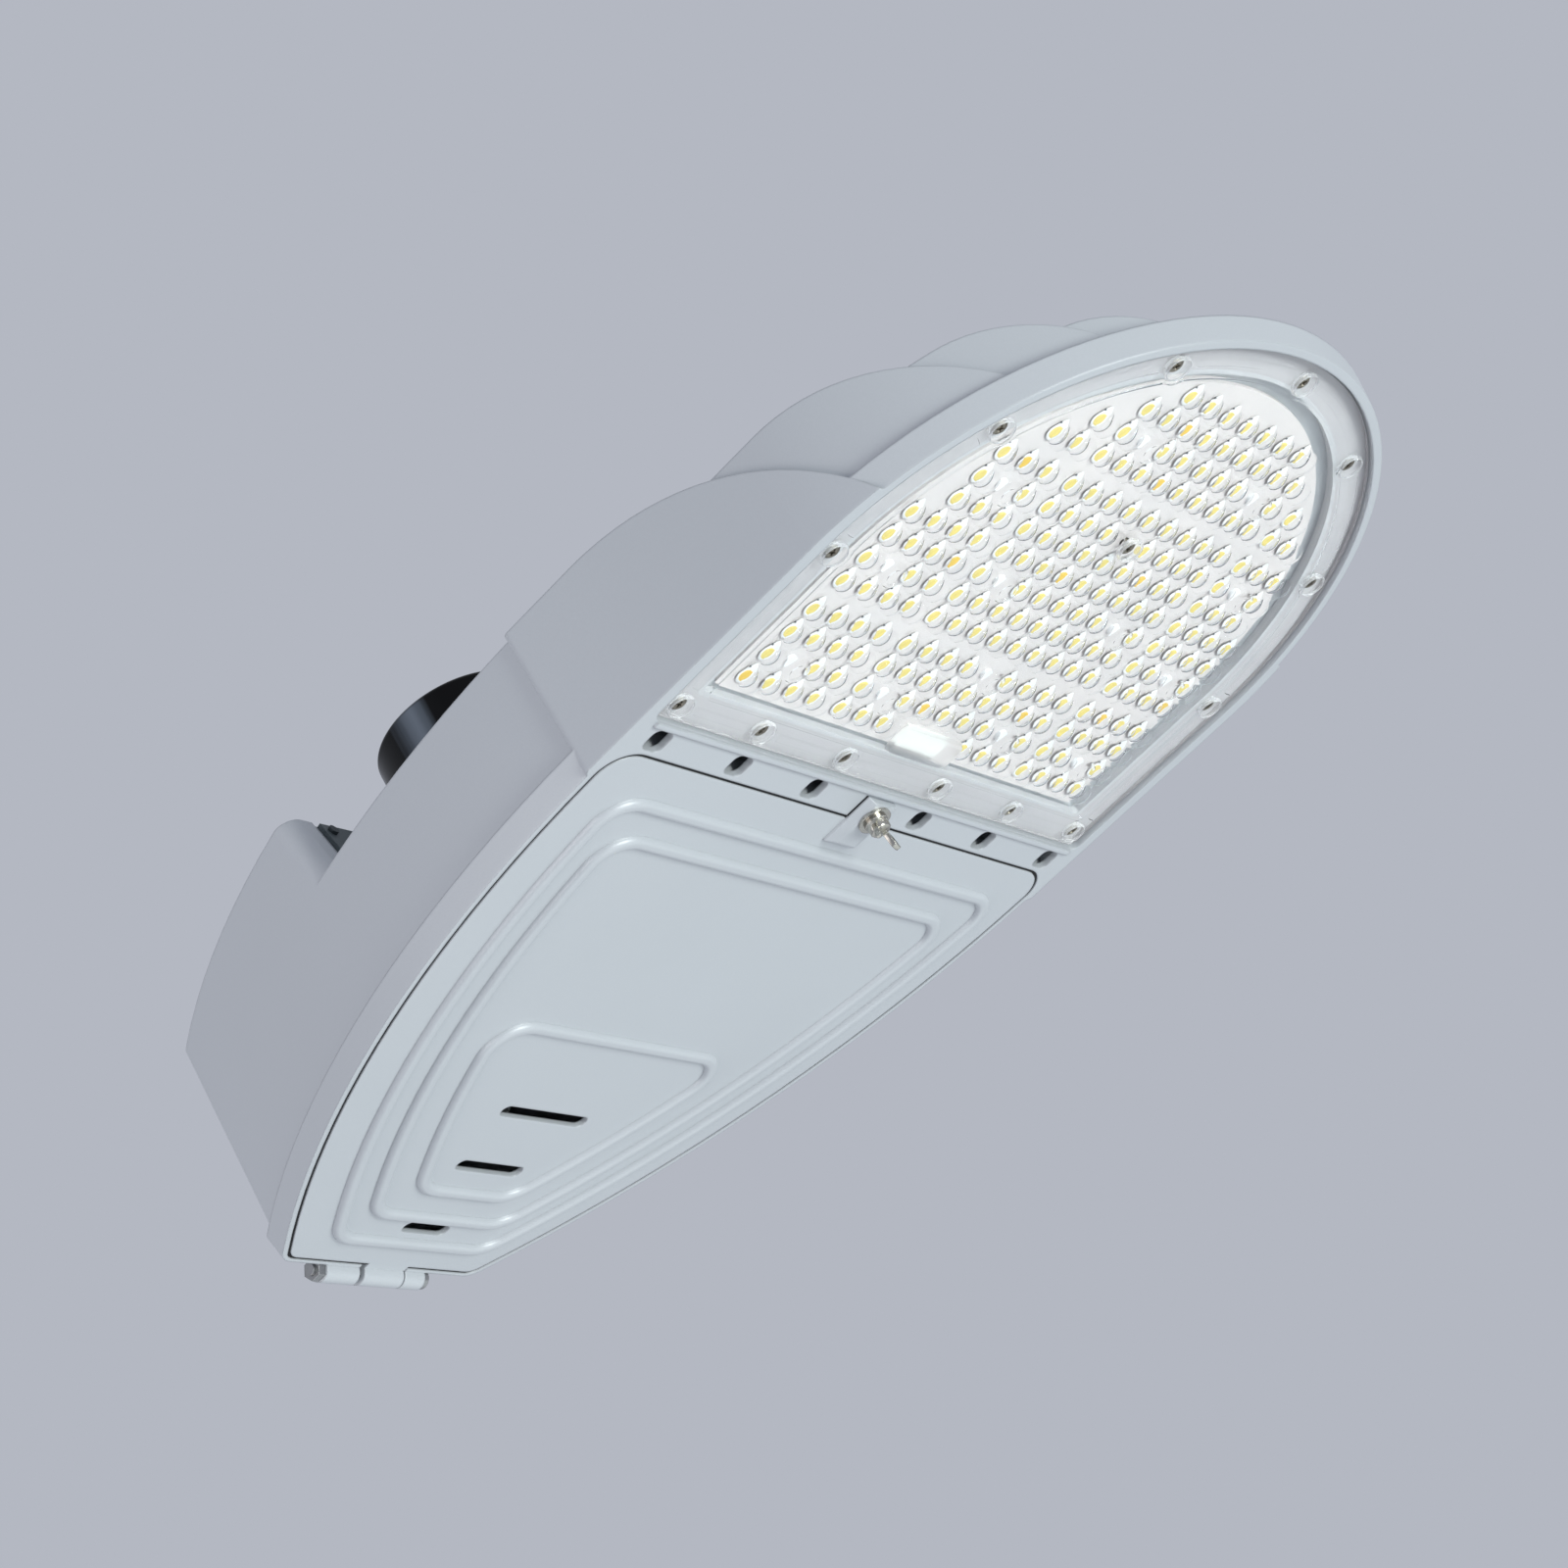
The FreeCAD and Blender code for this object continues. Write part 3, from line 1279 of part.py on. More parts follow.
def receptacle_gasket():
    base = d.stand_top + d.receptacle_plate
    ring = cylinder("cell_gasket_disc", d.receptacle_radius, d.cell_place, 0,
                    (base, base + d.cell_gasket))
    hole = cylinder("cell_gasket_hole", d.blade_circle + 5, d.cell_place, 0,
                    (base - 1, base + d.cell_gasket + 1))
    return cut("receptacle_gasket", ring, [hole])


def clamp_bolts():
    """Hex bolts that press the pole spigot from below; their tips end flush with the bore."""
    reach = d.socket_radius + d.socket_wall + d.clamp_boss_depth
    bolts = []
    for i, x in enumerate((d.clamp_bolt_first, d.clamp_bolt_second)):
        head = hex_bar(f"clamp_head_{i}", d.bolt_head_across, d.bolt_head_height)
        place(head, x, 0, -reach - d.bolt_head_height)
        shank = cylinder(f"clamp_shank_{i}", d.clamp_bolt_radius, x, 0,
                         (-reach - 1, -d.socket_radius - 0.6))
        bolts.append(fuse(f"clamp_bolt_{i}", [head, shank]))
    return group("clamp_bolts", bolts)


def cable_grommet():
    """Rubber grommet in the socket's end wall."""
    wall_from, wall_to = d.socket_length, d.socket_length + d.wall
    body = cylinder("grommet_body", d.cable_hole, (wall_from, wall_to), 0, 0)
    flange = cylinder("grommet_flange", d.cable_hole + 3, (wall_to, wall_to + 2), 0, 0)
    hole = cylinder("grommet_hole", d.cable_hole - 4, (wall_from - 1, wall_to + 3), 0, 0)
    return cut("cable_grommet", fuse("grommet_full", [body, flange]), [hole])


def led_driver():
    """Driver in a sheet-metal case that hangs from two bosses under the deck."""
    body = doc.addObject("PartDesign::Body", "driver_body")
    sk = body.newObject("Sketcher::SketchObject", "driver_sketch")
    sk.AttachmentSupport = [(origin_plane(body, "XY_Plane"), "")]
    sk.MapMode = "FlatFace"
    x0, x1 = d.driver_rear, d.driver_front
    y = d.driver_half
    corners = [(x0, -y), (x1, -y), (x1, y), (x0, y)]
    for i in range(4):
        (ax, ay), (bx, by) = corners[i], corners[(i + 1) % 4]
        sk.addGeometry(line(ax.value, ay.value, bx.value, by.value), False)
    for i in range(4):
        sk.addConstraint(Sketcher.Constraint("Coincident", i, 2, (i + 1) % 4, 1))
    for i, (ax, ay) in enumerate(corners):
        for kind, to in (("DistanceX", ax), ("DistanceY", ay)):
            index = sk.addConstraint(Sketcher.Constraint(kind, -1, 1, i, 1, to.value))
            sk.setExpression(f"Constraints[{index}]", to.text)
    sk.setExpression("AttachmentOffset.Base.z", (driver_top() - d.driver_height).text)
    pad = body.newObject("PartDesign::Pad", "driver_pad")
    pad.Profile = sk
    bind(pad, Length=d.driver_height)
    doc.recompute()
    soft = body.newObject("PartDesign::Fillet", "driver_fillet")
    soft.Base = (pad, [f"Edge{i}" for i, edge in enumerate(pad.Shape.Edges, start=1)
                       if edge.BoundBox.ZLength > 1])
    bind(soft, Radius=d.driver_corner)
    body.Tip = soft
    feet = [box(f"driver_foot_{side + 1}", driver_foot_span(),
                (min_first(d.driver_half * side, (d.driver_half + d.driver_foot) * side)),
                (driver_top() - d.driver_foot_thick, driver_top())) for side in (1, -1)]
    holes = [cylinder(f"driver_foot_hole_{i}", d.screw_hole, x, y,
                      (driver_top() - d.driver_foot_thick - 1, driver_top() + 1))
             for i, (x, y) in enumerate(driver_screw_places())]
    return cut("led_driver", fuse("driver_full", [body] + feet), holes)


def driver_foot_span():
    middle = (d.driver_rear + d.driver_front) / 2
    return middle - 12, middle + 12


def min_first(a, b):
    """The pair in rising order, each end drawn a little into the case for a sure joint."""
    return (a - 0.5, b) if a.value < b.value else (b, a + 0.5)


def origin_plane(body, role):
    return next(f for f in body.Origin.OriginFeatures if f.Role == role)


def driver_screws():
    seat_z = driver_top() - d.driver_foot_thick
    return group("driver_screws", [
        pan_screw(f"driver_screw_{i}", x, y, seat_z, size(4.5), d.screw_radius, d.screw_head,
                  d.screw_head_height)
        for i, (x, y) in enumerate(driver_screw_places())])


def surge_protector():
    """Sealed surge protector stuck under the deck."""
    x, y = d.surge_place, d.surge_side
    top = under_deck_at(-y + d.surge_long / 2) - d.deck_gap
    block = box("surge_block", (x - d.surge_wide / 2, x + d.surge_wide / 2),
                (y - d.surge_long / 2, y + d.surge_long / 2), (top - d.surge_tall, top))
    return round_edges("surge_protector", block, size(3), lambda edge: edge.BoundBox.ZLength > 1)


def terminal_base():
    x, y = d.terminal_place, d.terminal_side
    half = d.terminal_pitch * d.terminal_count / 2 + 4
    top = terminal_top()
    return box("terminal_rail", (x - d.terminal_wide / 2 - 2, x + d.terminal_wide / 2 + 2),
               (y - half, y + half), (top - d.terminal_base, top))


def terminal_top():
    reach = d.terminal_side + d.terminal_pitch * d.terminal_count / 2 + 4
    return under_deck_at(reach) - d.deck_gap


def terminal_places():
    """Centres of the terminal block's ways, side by side in Y."""
    count = int(driving["terminal_count"])
    return [d.terminal_side + d.terminal_pitch * (i - (count - 1) / 2) for i in range(count)]


def terminal_block():
    top = terminal_top() - d.terminal_base
    x, wide = d.terminal_place, d.terminal_wide / 2
    ways = [box(f"terminal_way_{i}", (x - wide, x + wide),
                (y - d.terminal_pitch / 2 + 0.6, y + d.terminal_pitch / 2 - 0.6),
                (top - d.terminal_tall, top)) for i, y in enumerate(terminal_places())]
    spine = box("terminal_spine", (x - wide + 6, x + wide - 6),
                (terminal_places()[0] - d.terminal_pitch / 2,
                 terminal_places()[-1] + d.terminal_pitch / 2), (top - d.terminal_tall + 6, top))
    holes = [cylinder(f"terminal_well_{i}_{j}", 2.6, x + offset, y,
                      (top - d.terminal_tall - 1, top - 6))
             for i, y in enumerate(terminal_places()) for j, offset in enumerate((-7, 7))]
    return cut("terminal_block", fuse("terminal_full", ways + [spine]), holes)


def terminal_screws():
    top = terminal_top() - d.terminal_base
    return group("terminal_screws", [
        cylinder(f"terminal_screw_{i}_{j}", 2.4, d.terminal_place + offset, y,
                 (top - d.terminal_tall + 3, top - 6))
        for i, y in enumerate(terminal_places()) for j, offset in enumerate((-7, 7))])


def earth_screw():
    return pan_screw("earth_screw", d.earth_place, d.earth_side, earth_seat(), size(5),
                     d.screw_radius, d.screw_head + 1, d.screw_head_height)


def lead_sleeve():
    """Rubber sleeve that seals the LED leads through the walls beside the air ducts."""
    x0, x1 = d.duct_rear - d.wall, d.bridge_front + 2
    body = cylinder("sleeve_body", d.lead_hole_radius - d.deck_gap, (x0, x1), d.lead_hole_side,
                    -d.lead_hole_drop)
    flange = cylinder("sleeve_flange", d.lead_hole_radius + 1.8, (x0 - 2, x0), d.lead_hole_side,
                      -d.lead_hole_drop)
    return fuse("lead_sleeve", [body, flange])


def plate_screw(name, side, along, up):
    """A small screw square to the leaning side plate."""
    head = doc.addObject("Part::Cylinder", name)
    head.Placement = Placement(Vector(), Rotation(Vector(0, 1, 0), 90))
    head.setExpression("Placement.Rotation.Angle", f"90 - {d.block_lean.text}")
    bind(head, Radius=2.2, Height=1.4)
    c, s = cosine(d.block_lean), sine(d.block_lean)
    height = (d.block_front_top - d.plate_low) * up
    foot_x = d.block_foot - tangent(d.block_lean) * (d.plate_low - d.deck_rear_top)
    return place(head, foot_x - d.plate_recess + d.plate_thick * c - height * s,
                 (d.plate_inner + (plate_outer() - d.plate_inner) * along) * side,
                 d.plate_low + d.plate_thick * s + height * c)


for node, build in [
    ("housing", housing), ("door", door), ("door_gasket", door_gasket),
    ("hinge_pin", hinge_pin), ("hinge_nut", hinge_nut), ("wing_washer", wing_washer),
    ("wing_screw", wing_screw), ("lens_plate", lens_plate), ("lens_gasket", lens_gasket),
    ("lens_screws", lens_screws), ("heat_sink", heat_sink), ("led_board", led_board),
    ("led_packages", led_packages), ("board_screws", board_screws),
    ("led_connector", led_connector), ("photocell_cap", photocell),
    ("photocell_base", photocell_base), ("photocell_blades", photocell_blades),
    ("photocell_receptacle", receptacle), ("receptacle_gasket", receptacle_gasket),
    ("clamp_bolts", clamp_bolts), ("cable_grommet", cable_grommet),
    ("led_driver", led_driver), ("driver_screws", driver_screws),
    ("surge_protector", surge_protector), ("terminal_base", terminal_base),
    ("terminal_block", terminal_block), ("terminal_screws", terminal_screws),
    ("earth_screw", earth_screw), ("lead_sleeve", lead_sleeve),
]:
    keep(node, build())

for side, hand in ((1, "left"), (-1, "right")):
    low = size(0) - d.plate_recess
    plate = side_plate(f"side_plate_{hand}", side, 0, low, low + d.plate_thick)
    keep(f"side_plate_{hand}", plate)
keep("side_plate_screws", group("side_plate_screws", [
    plate_screw(f"side_plate_screw_{side + 1}_{i}", side, along, up)
    for side in (1, -1) for i, (along, up) in enumerate(((0.93, 0.86), (0.07, 0.5)))]))

doc.recompute()

faults = [f"{obj.Label}: {obj.State}" for obj in doc.Objects
          if "Invalid" in obj.State or "Error" in obj.State]
for node, obj in pieces.items():
    shape = obj.Shape
    if shape.isNull() or not shape.isValid() or not shape.Solids:
        faults.append(f"{node}: no valid solid")
if faults:
    raise RuntimeError("; ".join(faults))

os.makedirs("parts", exist_ok=True)
for node, obj in pieces.items():
    obj.Shape.exportStep(os.path.join("parts", node + ".step"))
    print(f"{node:24s} {len(obj.Shape.Solids):4d} solids {obj.Shape.Volume / 1000:10.1f} cm3")
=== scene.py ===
import math

import bmesh
import bpy
from mathutils import Matrix, Vector, geometry


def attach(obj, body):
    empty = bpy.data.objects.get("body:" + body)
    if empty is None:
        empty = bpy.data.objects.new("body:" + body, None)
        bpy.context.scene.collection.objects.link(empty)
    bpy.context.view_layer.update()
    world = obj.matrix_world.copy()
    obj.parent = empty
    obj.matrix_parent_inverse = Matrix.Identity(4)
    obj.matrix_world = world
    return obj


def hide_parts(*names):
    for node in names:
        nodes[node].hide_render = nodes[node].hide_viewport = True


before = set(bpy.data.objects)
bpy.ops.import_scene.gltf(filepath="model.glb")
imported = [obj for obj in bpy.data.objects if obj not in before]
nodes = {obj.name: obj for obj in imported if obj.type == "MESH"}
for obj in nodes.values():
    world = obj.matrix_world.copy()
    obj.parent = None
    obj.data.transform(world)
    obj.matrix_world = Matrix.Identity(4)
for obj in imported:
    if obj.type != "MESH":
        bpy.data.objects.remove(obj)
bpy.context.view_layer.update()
mm = 0.001  # Blender works in metres, the sizes below are in millimetres


def toLinear(hexText):
    parts = [int(hexText[i:i + 2], 16) / 255 for i in (0, 2, 4)]
    linear = [c / 12.92 if c <= 0.04045 else ((c + 0.055) / 1.055) ** 2.4 for c in parts]
    return (*linear, 1.0)


# inputs take a value or another node's socket, settings are the node's own properties
def addNode(tree, kind, inputs, **settings):
    node = tree.nodes.new(kind)
    for key, value in settings.items():
        setattr(node, key, value)
    for key, value in inputs.items():
        if isinstance(value, bpy.types.NodeSocket):
            tree.links.new(value, node.inputs[key])
        else:
            node.inputs[key].default_value = value
    return node


def newMaterial(name):
    material = bpy.data.materials.new(name)
    material.use_nodes = True
    tree = material.node_tree
    coords = addNode(tree, "ShaderNodeTexCoord", {}).outputs["Object"]
    return material, tree, tree.nodes["Principled BSDF"], coords


pattern = {
    "patch": 111.11,  # width of the faint cloudy patches that any large surface has
    "patchDetail": 3.0, "grainDetail": 4.0,
    "lift": 0.25,  # moves the mix of both colours towards the light one
    "relief": 0.4,  # depth of the grain at full bump
    "bevelSamples": 6,
}


# Colour and roughness drift with the grain. Grain and edge radius are in millimetres. Real grain
# of under about 0.4 mm is finer than the render's pixels, so it is drawn as coarse as given here.
def surface(name, dark, light, rough, grain, bump=0.0, metallic=0.0, edge=0.0):
    material, tree, shader, coords = newMaterial(name)
    patches = addNode(tree, "ShaderNodeTexNoise", {
        "Vector": coords, "Scale": 1 / (pattern["patch"] * mm), "Detail": pattern["patchDetail"]})
    fine = addNode(tree, "ShaderNodeTexNoise", {
        "Vector": coords, "Scale": 1 / (grain * mm), "Detail": pattern["grainDetail"]})
    blend = addNode(tree, "ShaderNodeMath", {
        0: patches.outputs["Fac"], 1: fine.outputs["Fac"], 2: pattern["lift"]},
        operation="MULTIPLY_ADD")
    colour = addNode(tree, "ShaderNodeMix", {}, data_type="RGBA")
    tree.links.new(blend.outputs[0], colour.inputs["Factor"])
    colour.inputs["A"].default_value = toLinear(dark)
    colour.inputs["B"].default_value = toLinear(light)
    tree.links.new(colour.outputs["Result"], shader.inputs["Base Color"])
    wear = addNode(tree, "ShaderNodeMapRange", {
        "Value": fine.outputs["Fac"], "To Min": rough[0], "To Max": rough[1]})
    tree.links.new(wear.outputs["Result"], shader.inputs["Roughness"])
    shader.inputs["Metallic"].default_value = metallic
    normal = None
    if edge:
        normal = addNode(tree, "ShaderNodeBevel", {"Radius": edge * mm},
                         samples=pattern["bevelSamples"]).outputs["Normal"]
    if bump:
        relief = addNode(tree, "ShaderNodeBump", {
            "Height": fine.outputs["Fac"], "Strength": bump, "Distance": pattern["relief"] * mm})
        if normal:
            tree.links.new(normal, relief.inputs["Normal"])
        normal = relief.outputs["Normal"]
    if normal:
        tree.links.new(normal, shader.inputs["Normal"])
    return material


# Powder coat sprayed on a die casting: satin, with a faint orange peel and soft edges
castPaint = surface("silver_grey_powder_coat", "BBBFC3", "C6CACE", (0.34, 0.46), 0.7143,
                    bump=0.10, metallic=0.15, edge=1.2)
# Closed-cell foam: near black and dull, with open pores on its cut faces
foam = surface("black_gasket_foam", "0E0E10", "1A1A1C", (0.8, 0.95), 1.1111, bump=0.4)
# Moulded silicone: pale and slightly greasy
silicone = surface("pale_silicone_gasket", "AEAFB2", "BEBFC2", (0.45, 0.6), 1.4286, bump=0.1)
# Bright zinc plating: grey metal with a cloudy shine
zinc = surface("zinc_plated_steel", "8E8F90", "B5B6B6", (0.28, 0.42), 1.4286, bump=0.1,
               metallic=1.0, edge=0.3)
# Polished stainless steel: warm, with sharp highlights
stainless = surface("polished_stainless", "A9A59C", "D3D0C8", (0.16, 0.28), 2.0, bump=0.05,
                    metallic=1.0, edge=0.4)
# Nickel plating on small cold-headed screws: dark to bright within each head
nickel = surface("nickel_plated_steel", "57524A", "A8A295", (0.25, 0.4), 1.1111, bump=0.3,
                 metallic=1.0)
# Extruded aluminium, left bare: matt silver
bareAluminium = surface("bare_aluminium", "A6A9AC", "C0C3C6", (0.35, 0.5), 2.8571, bump=0.1,
                        metallic=0.5)
# Printed solder mask: even, slightly warm white
boardWhite = surface("white_solder_mask", "C7C1C0", "CFCAC9", (0.35, 0.5), 1.6667, bump=0.03)
# Moulded reflector round each LED: the brightest white under the lens
padWhite = surface("white_led_reflector", "D9DADA", "E0E0E1", (0.3, 0.45), 1.6667, bump=0.02)
# Phosphor in silicone, unlit: dull yellow, and deeper in some LEDs. Its grit is under 0.02 mm.
phosphor = surface("yellow_phosphor", "D3C06A", "DAC878", (0.45, 0.6), 0.4, bump=0.1)
warmPhosphor = surface("amber_phosphor", "D6B045", "DCBA54", (0.45, 0.6), 0.4, bump=0.1)
# Opaque pale grey on the lens's edge faces, as painted shade for the clear edge's darker look,
# and on the back of its border on its seal, where it hides the painted ledge behind the plastic
lensEdge = surface("pale_border_and_painted_edge_shade", "A8A7AA", "B4B3B6", (0.3, 0.45), 2.0, bump=0.03)
# Blackened steel screws: dark with a dull metal gleam
darkScrew = surface("blackened_steel", "2E3336", "50575B", (0.35, 0.5), 1.4286, bump=0.1,
                    metallic=0.6)
# Moulded nylon screws, nearly as pale as the board that they hold
paleScrew = surface("pale_nylon_screw", "DADDE0", "E8EAEC", (0.3, 0.45), 1.6667, bump=0.03)
# Tinned pads beside the LEDs: small dark grey dots
greyPad = surface("grey_solder_pad", "4A4D50", "606468", (0.4, 0.55), 1.1111, bump=0.05)
# Moulded white plastic: slightly uneven satin
whitePlastic = surface("white_plastic", "DADBD8", "EDEDEA", (0.35, 0.5), 2.0, bump=0.08)
# Black moulding with a spark-eroded grain
blackMatte = surface("black_moulded_plastic", "101012", "1B1B1E", (0.45, 0.6), 0.8333,
                     bump=0.15)
# Turned brass: yellow and fairly bright
brass = surface("plain_brass", "9C7C3B", "C3A35A", (0.25, 0.4), 2.0, bump=0.05, metallic=1.0)
# Moulded rubber: black with hardly any shine
rubber = surface("black_rubber", "0C0C0D", "19191A", (0.7, 0.85), 1.25, bump=0.2)
# Satin aluminium case of the driver
driverCase = surface("satin_driver_case", "8D9094", "A9ACB0", (0.35, 0.5), 1.1111, bump=0.1,
                     metallic=0.9)
# Dark grey wet paint on thin plates: satin, darker than the casting
darkPlate = surface("dark_grey_satin_paint", "474F52", "596265", (0.35, 0.5), 0.8333,
                    bump=0.1, edge=0.6)


# Sizes in millimetres. Streak: its width and length, wave: how far streaks bend the painted
# reflections, in radians like turn, where they start. Stops: share of the half turn, then its
# grey.
cellGloss = {
    "axis": 156.0, "top": (103.5, 105.5), "black": "050506",
    "streak": (4.5455, 250.0), "detail": 4.0, "wave": 0.16, "turn": 0.08,
    "rough": (0.2, 0.32), "specular": 0.15,
    "stops": ((0.0, "24282B"), (0.17, "30353A"), (0.215, "15181A"), (0.26, "030304"),
              (0.43, "060708"), (0.47, "4A5159"), (0.53, "737C86"), (0.585, "565E66"),
              (0.605, "0B0C0D"), (0.66, "030304")),
}


# Glossy black moulding, whose upright grey stripes on its side are painted reflections
def glossWithPaintedReflections():
    gloss = cellGloss
    material, tree, shader, coords = newMaterial("black_gloss_plastic_painted_reflections")
    wide, tall = (1 / (size * mm) for size in gloss["streak"])
    upright = addNode(tree, "ShaderNodeMapping", {"Vector": coords, "Scale": (wide, wide, tall)})
    streaks = addNode(tree, "ShaderNodeTexNoise", {
        "Vector": upright.outputs["Vector"], "Scale": 1.0, "Detail": gloss["detail"]})
    place = addNode(tree, "ShaderNodeSeparateXYZ", {"Vector": coords})
    fromAxis = addNode(tree, "ShaderNodeMath", {0: place.outputs["X"], 1: gloss["axis"] * mm},
                       operation="SUBTRACT")
    turn = addNode(tree, "ShaderNodeMath", {0: place.outputs["Y"], 1: fromAxis.outputs[0]},
                   operation="ARCTAN2")
    wavy = addNode(tree, "ShaderNodeMath", {
        0: streaks.outputs["Fac"], 1: gloss["wave"], 2: turn.outputs[0]},
        operation="MULTIPLY_ADD")
    around = addNode(tree, "ShaderNodeMapRange", {
        "Value": wavy.outputs[0], "From Min": gloss["turn"] - math.pi, "From Max": gloss["turn"]})
    # painted reflections: lighter greys by the angle round the cap's axis, the darkest its own
    # black
    reflectionBands = addNode(tree, "ShaderNodeValToRGB", {"Fac": around.outputs["Result"]})
    stops = reflectionBands.color_ramp.elements
    stops.remove(stops[1])
    stops[0].color = toLinear(gloss["stops"][0][1])
    for at, tint in gloss["stops"][1:]:
        stops.new(at).color = toLinear(tint)
    low, high = gloss["top"]
    onTop = addNode(tree, "ShaderNodeMapRange", {
        "Value": place.outputs["Z"], "From Min": low * mm, "From Max": high * mm})
    colour = addNode(tree, "ShaderNodeMix", {}, data_type="RGBA")
    tree.links.new(onTop.outputs["Result"], colour.inputs["Factor"])
    tree.links.new(reflectionBands.outputs["Color"], colour.inputs["A"])
    colour.inputs["B"].default_value = toLinear(gloss["black"])
    tree.links.new(colour.outputs["Result"], shader.inputs["Base Color"])
    wear = addNode(tree, "ShaderNodeMapRange", {
        "Value": streaks.outputs["Fac"], "To Min": gloss["rough"][0], "To Max": gloss["rough"][1]})
    tree.links.new(wear.outputs["Result"], shader.inputs["Roughness"])
    shader.inputs["Specular IOR Level"].default_value = gloss["specular"]
    return material


blackGloss = glossWithPaintedReflections()

moulding = {"cloud": 25.0, "detail": 2.0, "smoothest": 0.6, "coatBend": 1.5}


# Polycarbonate bends light by 1.58. The plate is seen through many thin walls, so it bends less
# here and a coat gives the shine back: the LEDs stay sharp behind clear, glinting domes.
def clearPlastic(name, tint, rough, ior, clear=1.0, coat=0.55):
    material, tree, shader, coords = newMaterial(name)
    cloud = addNode(tree, "ShaderNodeTexNoise", {
        "Vector": coords, "Scale": 1 / (moulding["cloud"] * mm), "Detail": moulding["detail"]})
    colour = addNode(tree, "ShaderNodeMix", {}, data_type="RGBA")
    tree.links.new(cloud.outputs["Fac"], colour.inputs["Factor"])
    colour.inputs["A"].default_value = toLinear(tint)
    colour.inputs["B"].default_value = toLinear("FFFFFF")
    tree.links.new(colour.outputs["Result"], shader.inputs["Base Color"])
    wear = addNode(tree, "ShaderNodeMapRange", {
        "Value": cloud.outputs["Fac"], "To Min": rough * moulding["smoothest"], "To Max": rough})
    tree.links.new(wear.outputs["Result"], shader.inputs["Roughness"])
    shader.inputs["Transmission Weight"].default_value = clear
    shader.inputs["IOR"].default_value = ior
    shader.inputs["Coat Weight"].default_value = coat
    shader.inputs["Coat Roughness"].default_value = rough
    shader.inputs["Coat IOR"].default_value = moulding["coatBend"]
    return material


# Clear moulding of the plate, its frosted connector hump and its greyer, thicker screw bosses
clearLens = clearPlastic("clear_polycarbonate", "F3F6F8", 0.05, 1.045, coat=0.25)
frostedLens = clearPlastic("frosted_polycarbonate", "FAFCFD", 0.5, 1.25)
bossLens = clearPlastic("clear_polycarbonate_bosses", "E6E9EC", 0.2, 1.2, 0.75)

nodeMaterials = {
    "housing": castPaint, "door": castPaint, "door_gasket": foam, "hinge_pin": zinc,
    "hinge_nut": zinc, "wing_washer": stainless, "wing_screw": stainless,
    "lens_plate": clearLens, "lens_gasket": silicone, "lens_screws": stainless,
    "heat_sink": bareAluminium, "led_board": boardWhite, "led_packages": phosphor,
    "board_screws": paleScrew, "led_connector": whitePlastic, "photocell_cap": blackGloss,
    "photocell_base": blackMatte, "photocell_blades": brass,
    "photocell_receptacle": blackMatte, "receptacle_gasket": foam, "clamp_bolts": zinc,
    "cable_grommet": rubber, "led_driver": driverCase, "driver_screws": zinc,
    "surge_protector": whitePlastic, "terminal_base": blackMatte,
    "terminal_block": whitePlastic, "terminal_screws": brass, "earth_screw": brass,
    "lead_sleeve": rubber, "side_plate_left": darkPlate, "side_plate_right": darkPlate,
    "side_plate_screws": darkScrew,
}
for name, material in nodeMaterials.items():
    mesh = nodes[name].data
    mesh.materials.clear()
    mesh.materials.append(material)
print("materials done")


teardrop = {"sharpness": 4, "slimming": 0.1}


def circleLoop(cx, cy, radius, segments, tip=0.0):  # tip draws the +X side out, like a teardrop
    points = []
    for i in range(segments):
        turn = 2 * math.pi * (i + 0.5) / segments
        stretch = 1 + tip / radius * max(0.0, math.cos(turn)) ** teardrop["sharpness"]
        slim = 1 - teardrop["slimming"] * (stretch - 1)
        points.append((cx + radius * math.cos(turn) * stretch,
                       cy + radius * math.sin(turn) * slim))
    return points


def boxLoop(x0, x1, y0, y1, corner, steps=5):
    points = []
    for cx, cy, start in ((x1 - corner, y1 - corner, 0), (x0 + corner, y1 - corner, 1),
                          (x0 + corner, y0 + corner, 2), (x1 - corner, y0 + corner, 3)):
        for i in range(steps + 1):
            turn = math.pi / 2 * (start + i / steps)
            points.append((cx + corner * math.cos(turn), cy + corner * math.sin(turn)))
    return points


def addLoop(bm, points, z):
    return [bm.verts.new((x * mm, y * mm, z * mm)) for x, y in points]


def bridge(bm, loops):
    for first, second in zip(loops, loops[1:]):
        for i in range(len(first)):
            j = (i + 1) % len(first)
            bm.faces.new([first[i], first[j], second[j], second[i]])


def capLoop(bm, loop, flip=False):
    bm.faces.new(loop[::-1] if flip else loop)


fill = {"insideWithHoles": 2, "weld": 1e-5}  # the triangulation's mode and its tolerance in mm


# Flat triangles inside the outer loop and outside every hole
def fillBetween(bm, outer, holes, faceDown):
    loops = [outer] + holes
    verts = [v for loop in loops for v in loop]
    faces, start = [], 0
    for loop in loops:
        faces.append(list(range(start, start + len(loop))))
        start += len(loop)
    flat = [Vector((v.co.x / mm, v.co.y / mm)) for v in verts]
    made = geometry.delaunay_2d_cdt(flat, [], faces, fill["insideWithHoles"], fill["weld"])
    source = [ids[0] if ids else None for ids in made[3]]
    for triangle in made[2]:
        corners = [verts[source[i]] for i in triangle]
        a, b, c = (v.co for v in corners)
        up = (b - a).cross(c - a).z > 0
        bm.faces.new(corners if up != faceDown else corners[::-1])


def paintFrom(bm, start, index):  # gives a material to the faces made since start
    bm.faces.ensure_lookup_table()
    for face in bm.faces[start:]:
        face.material_index = index


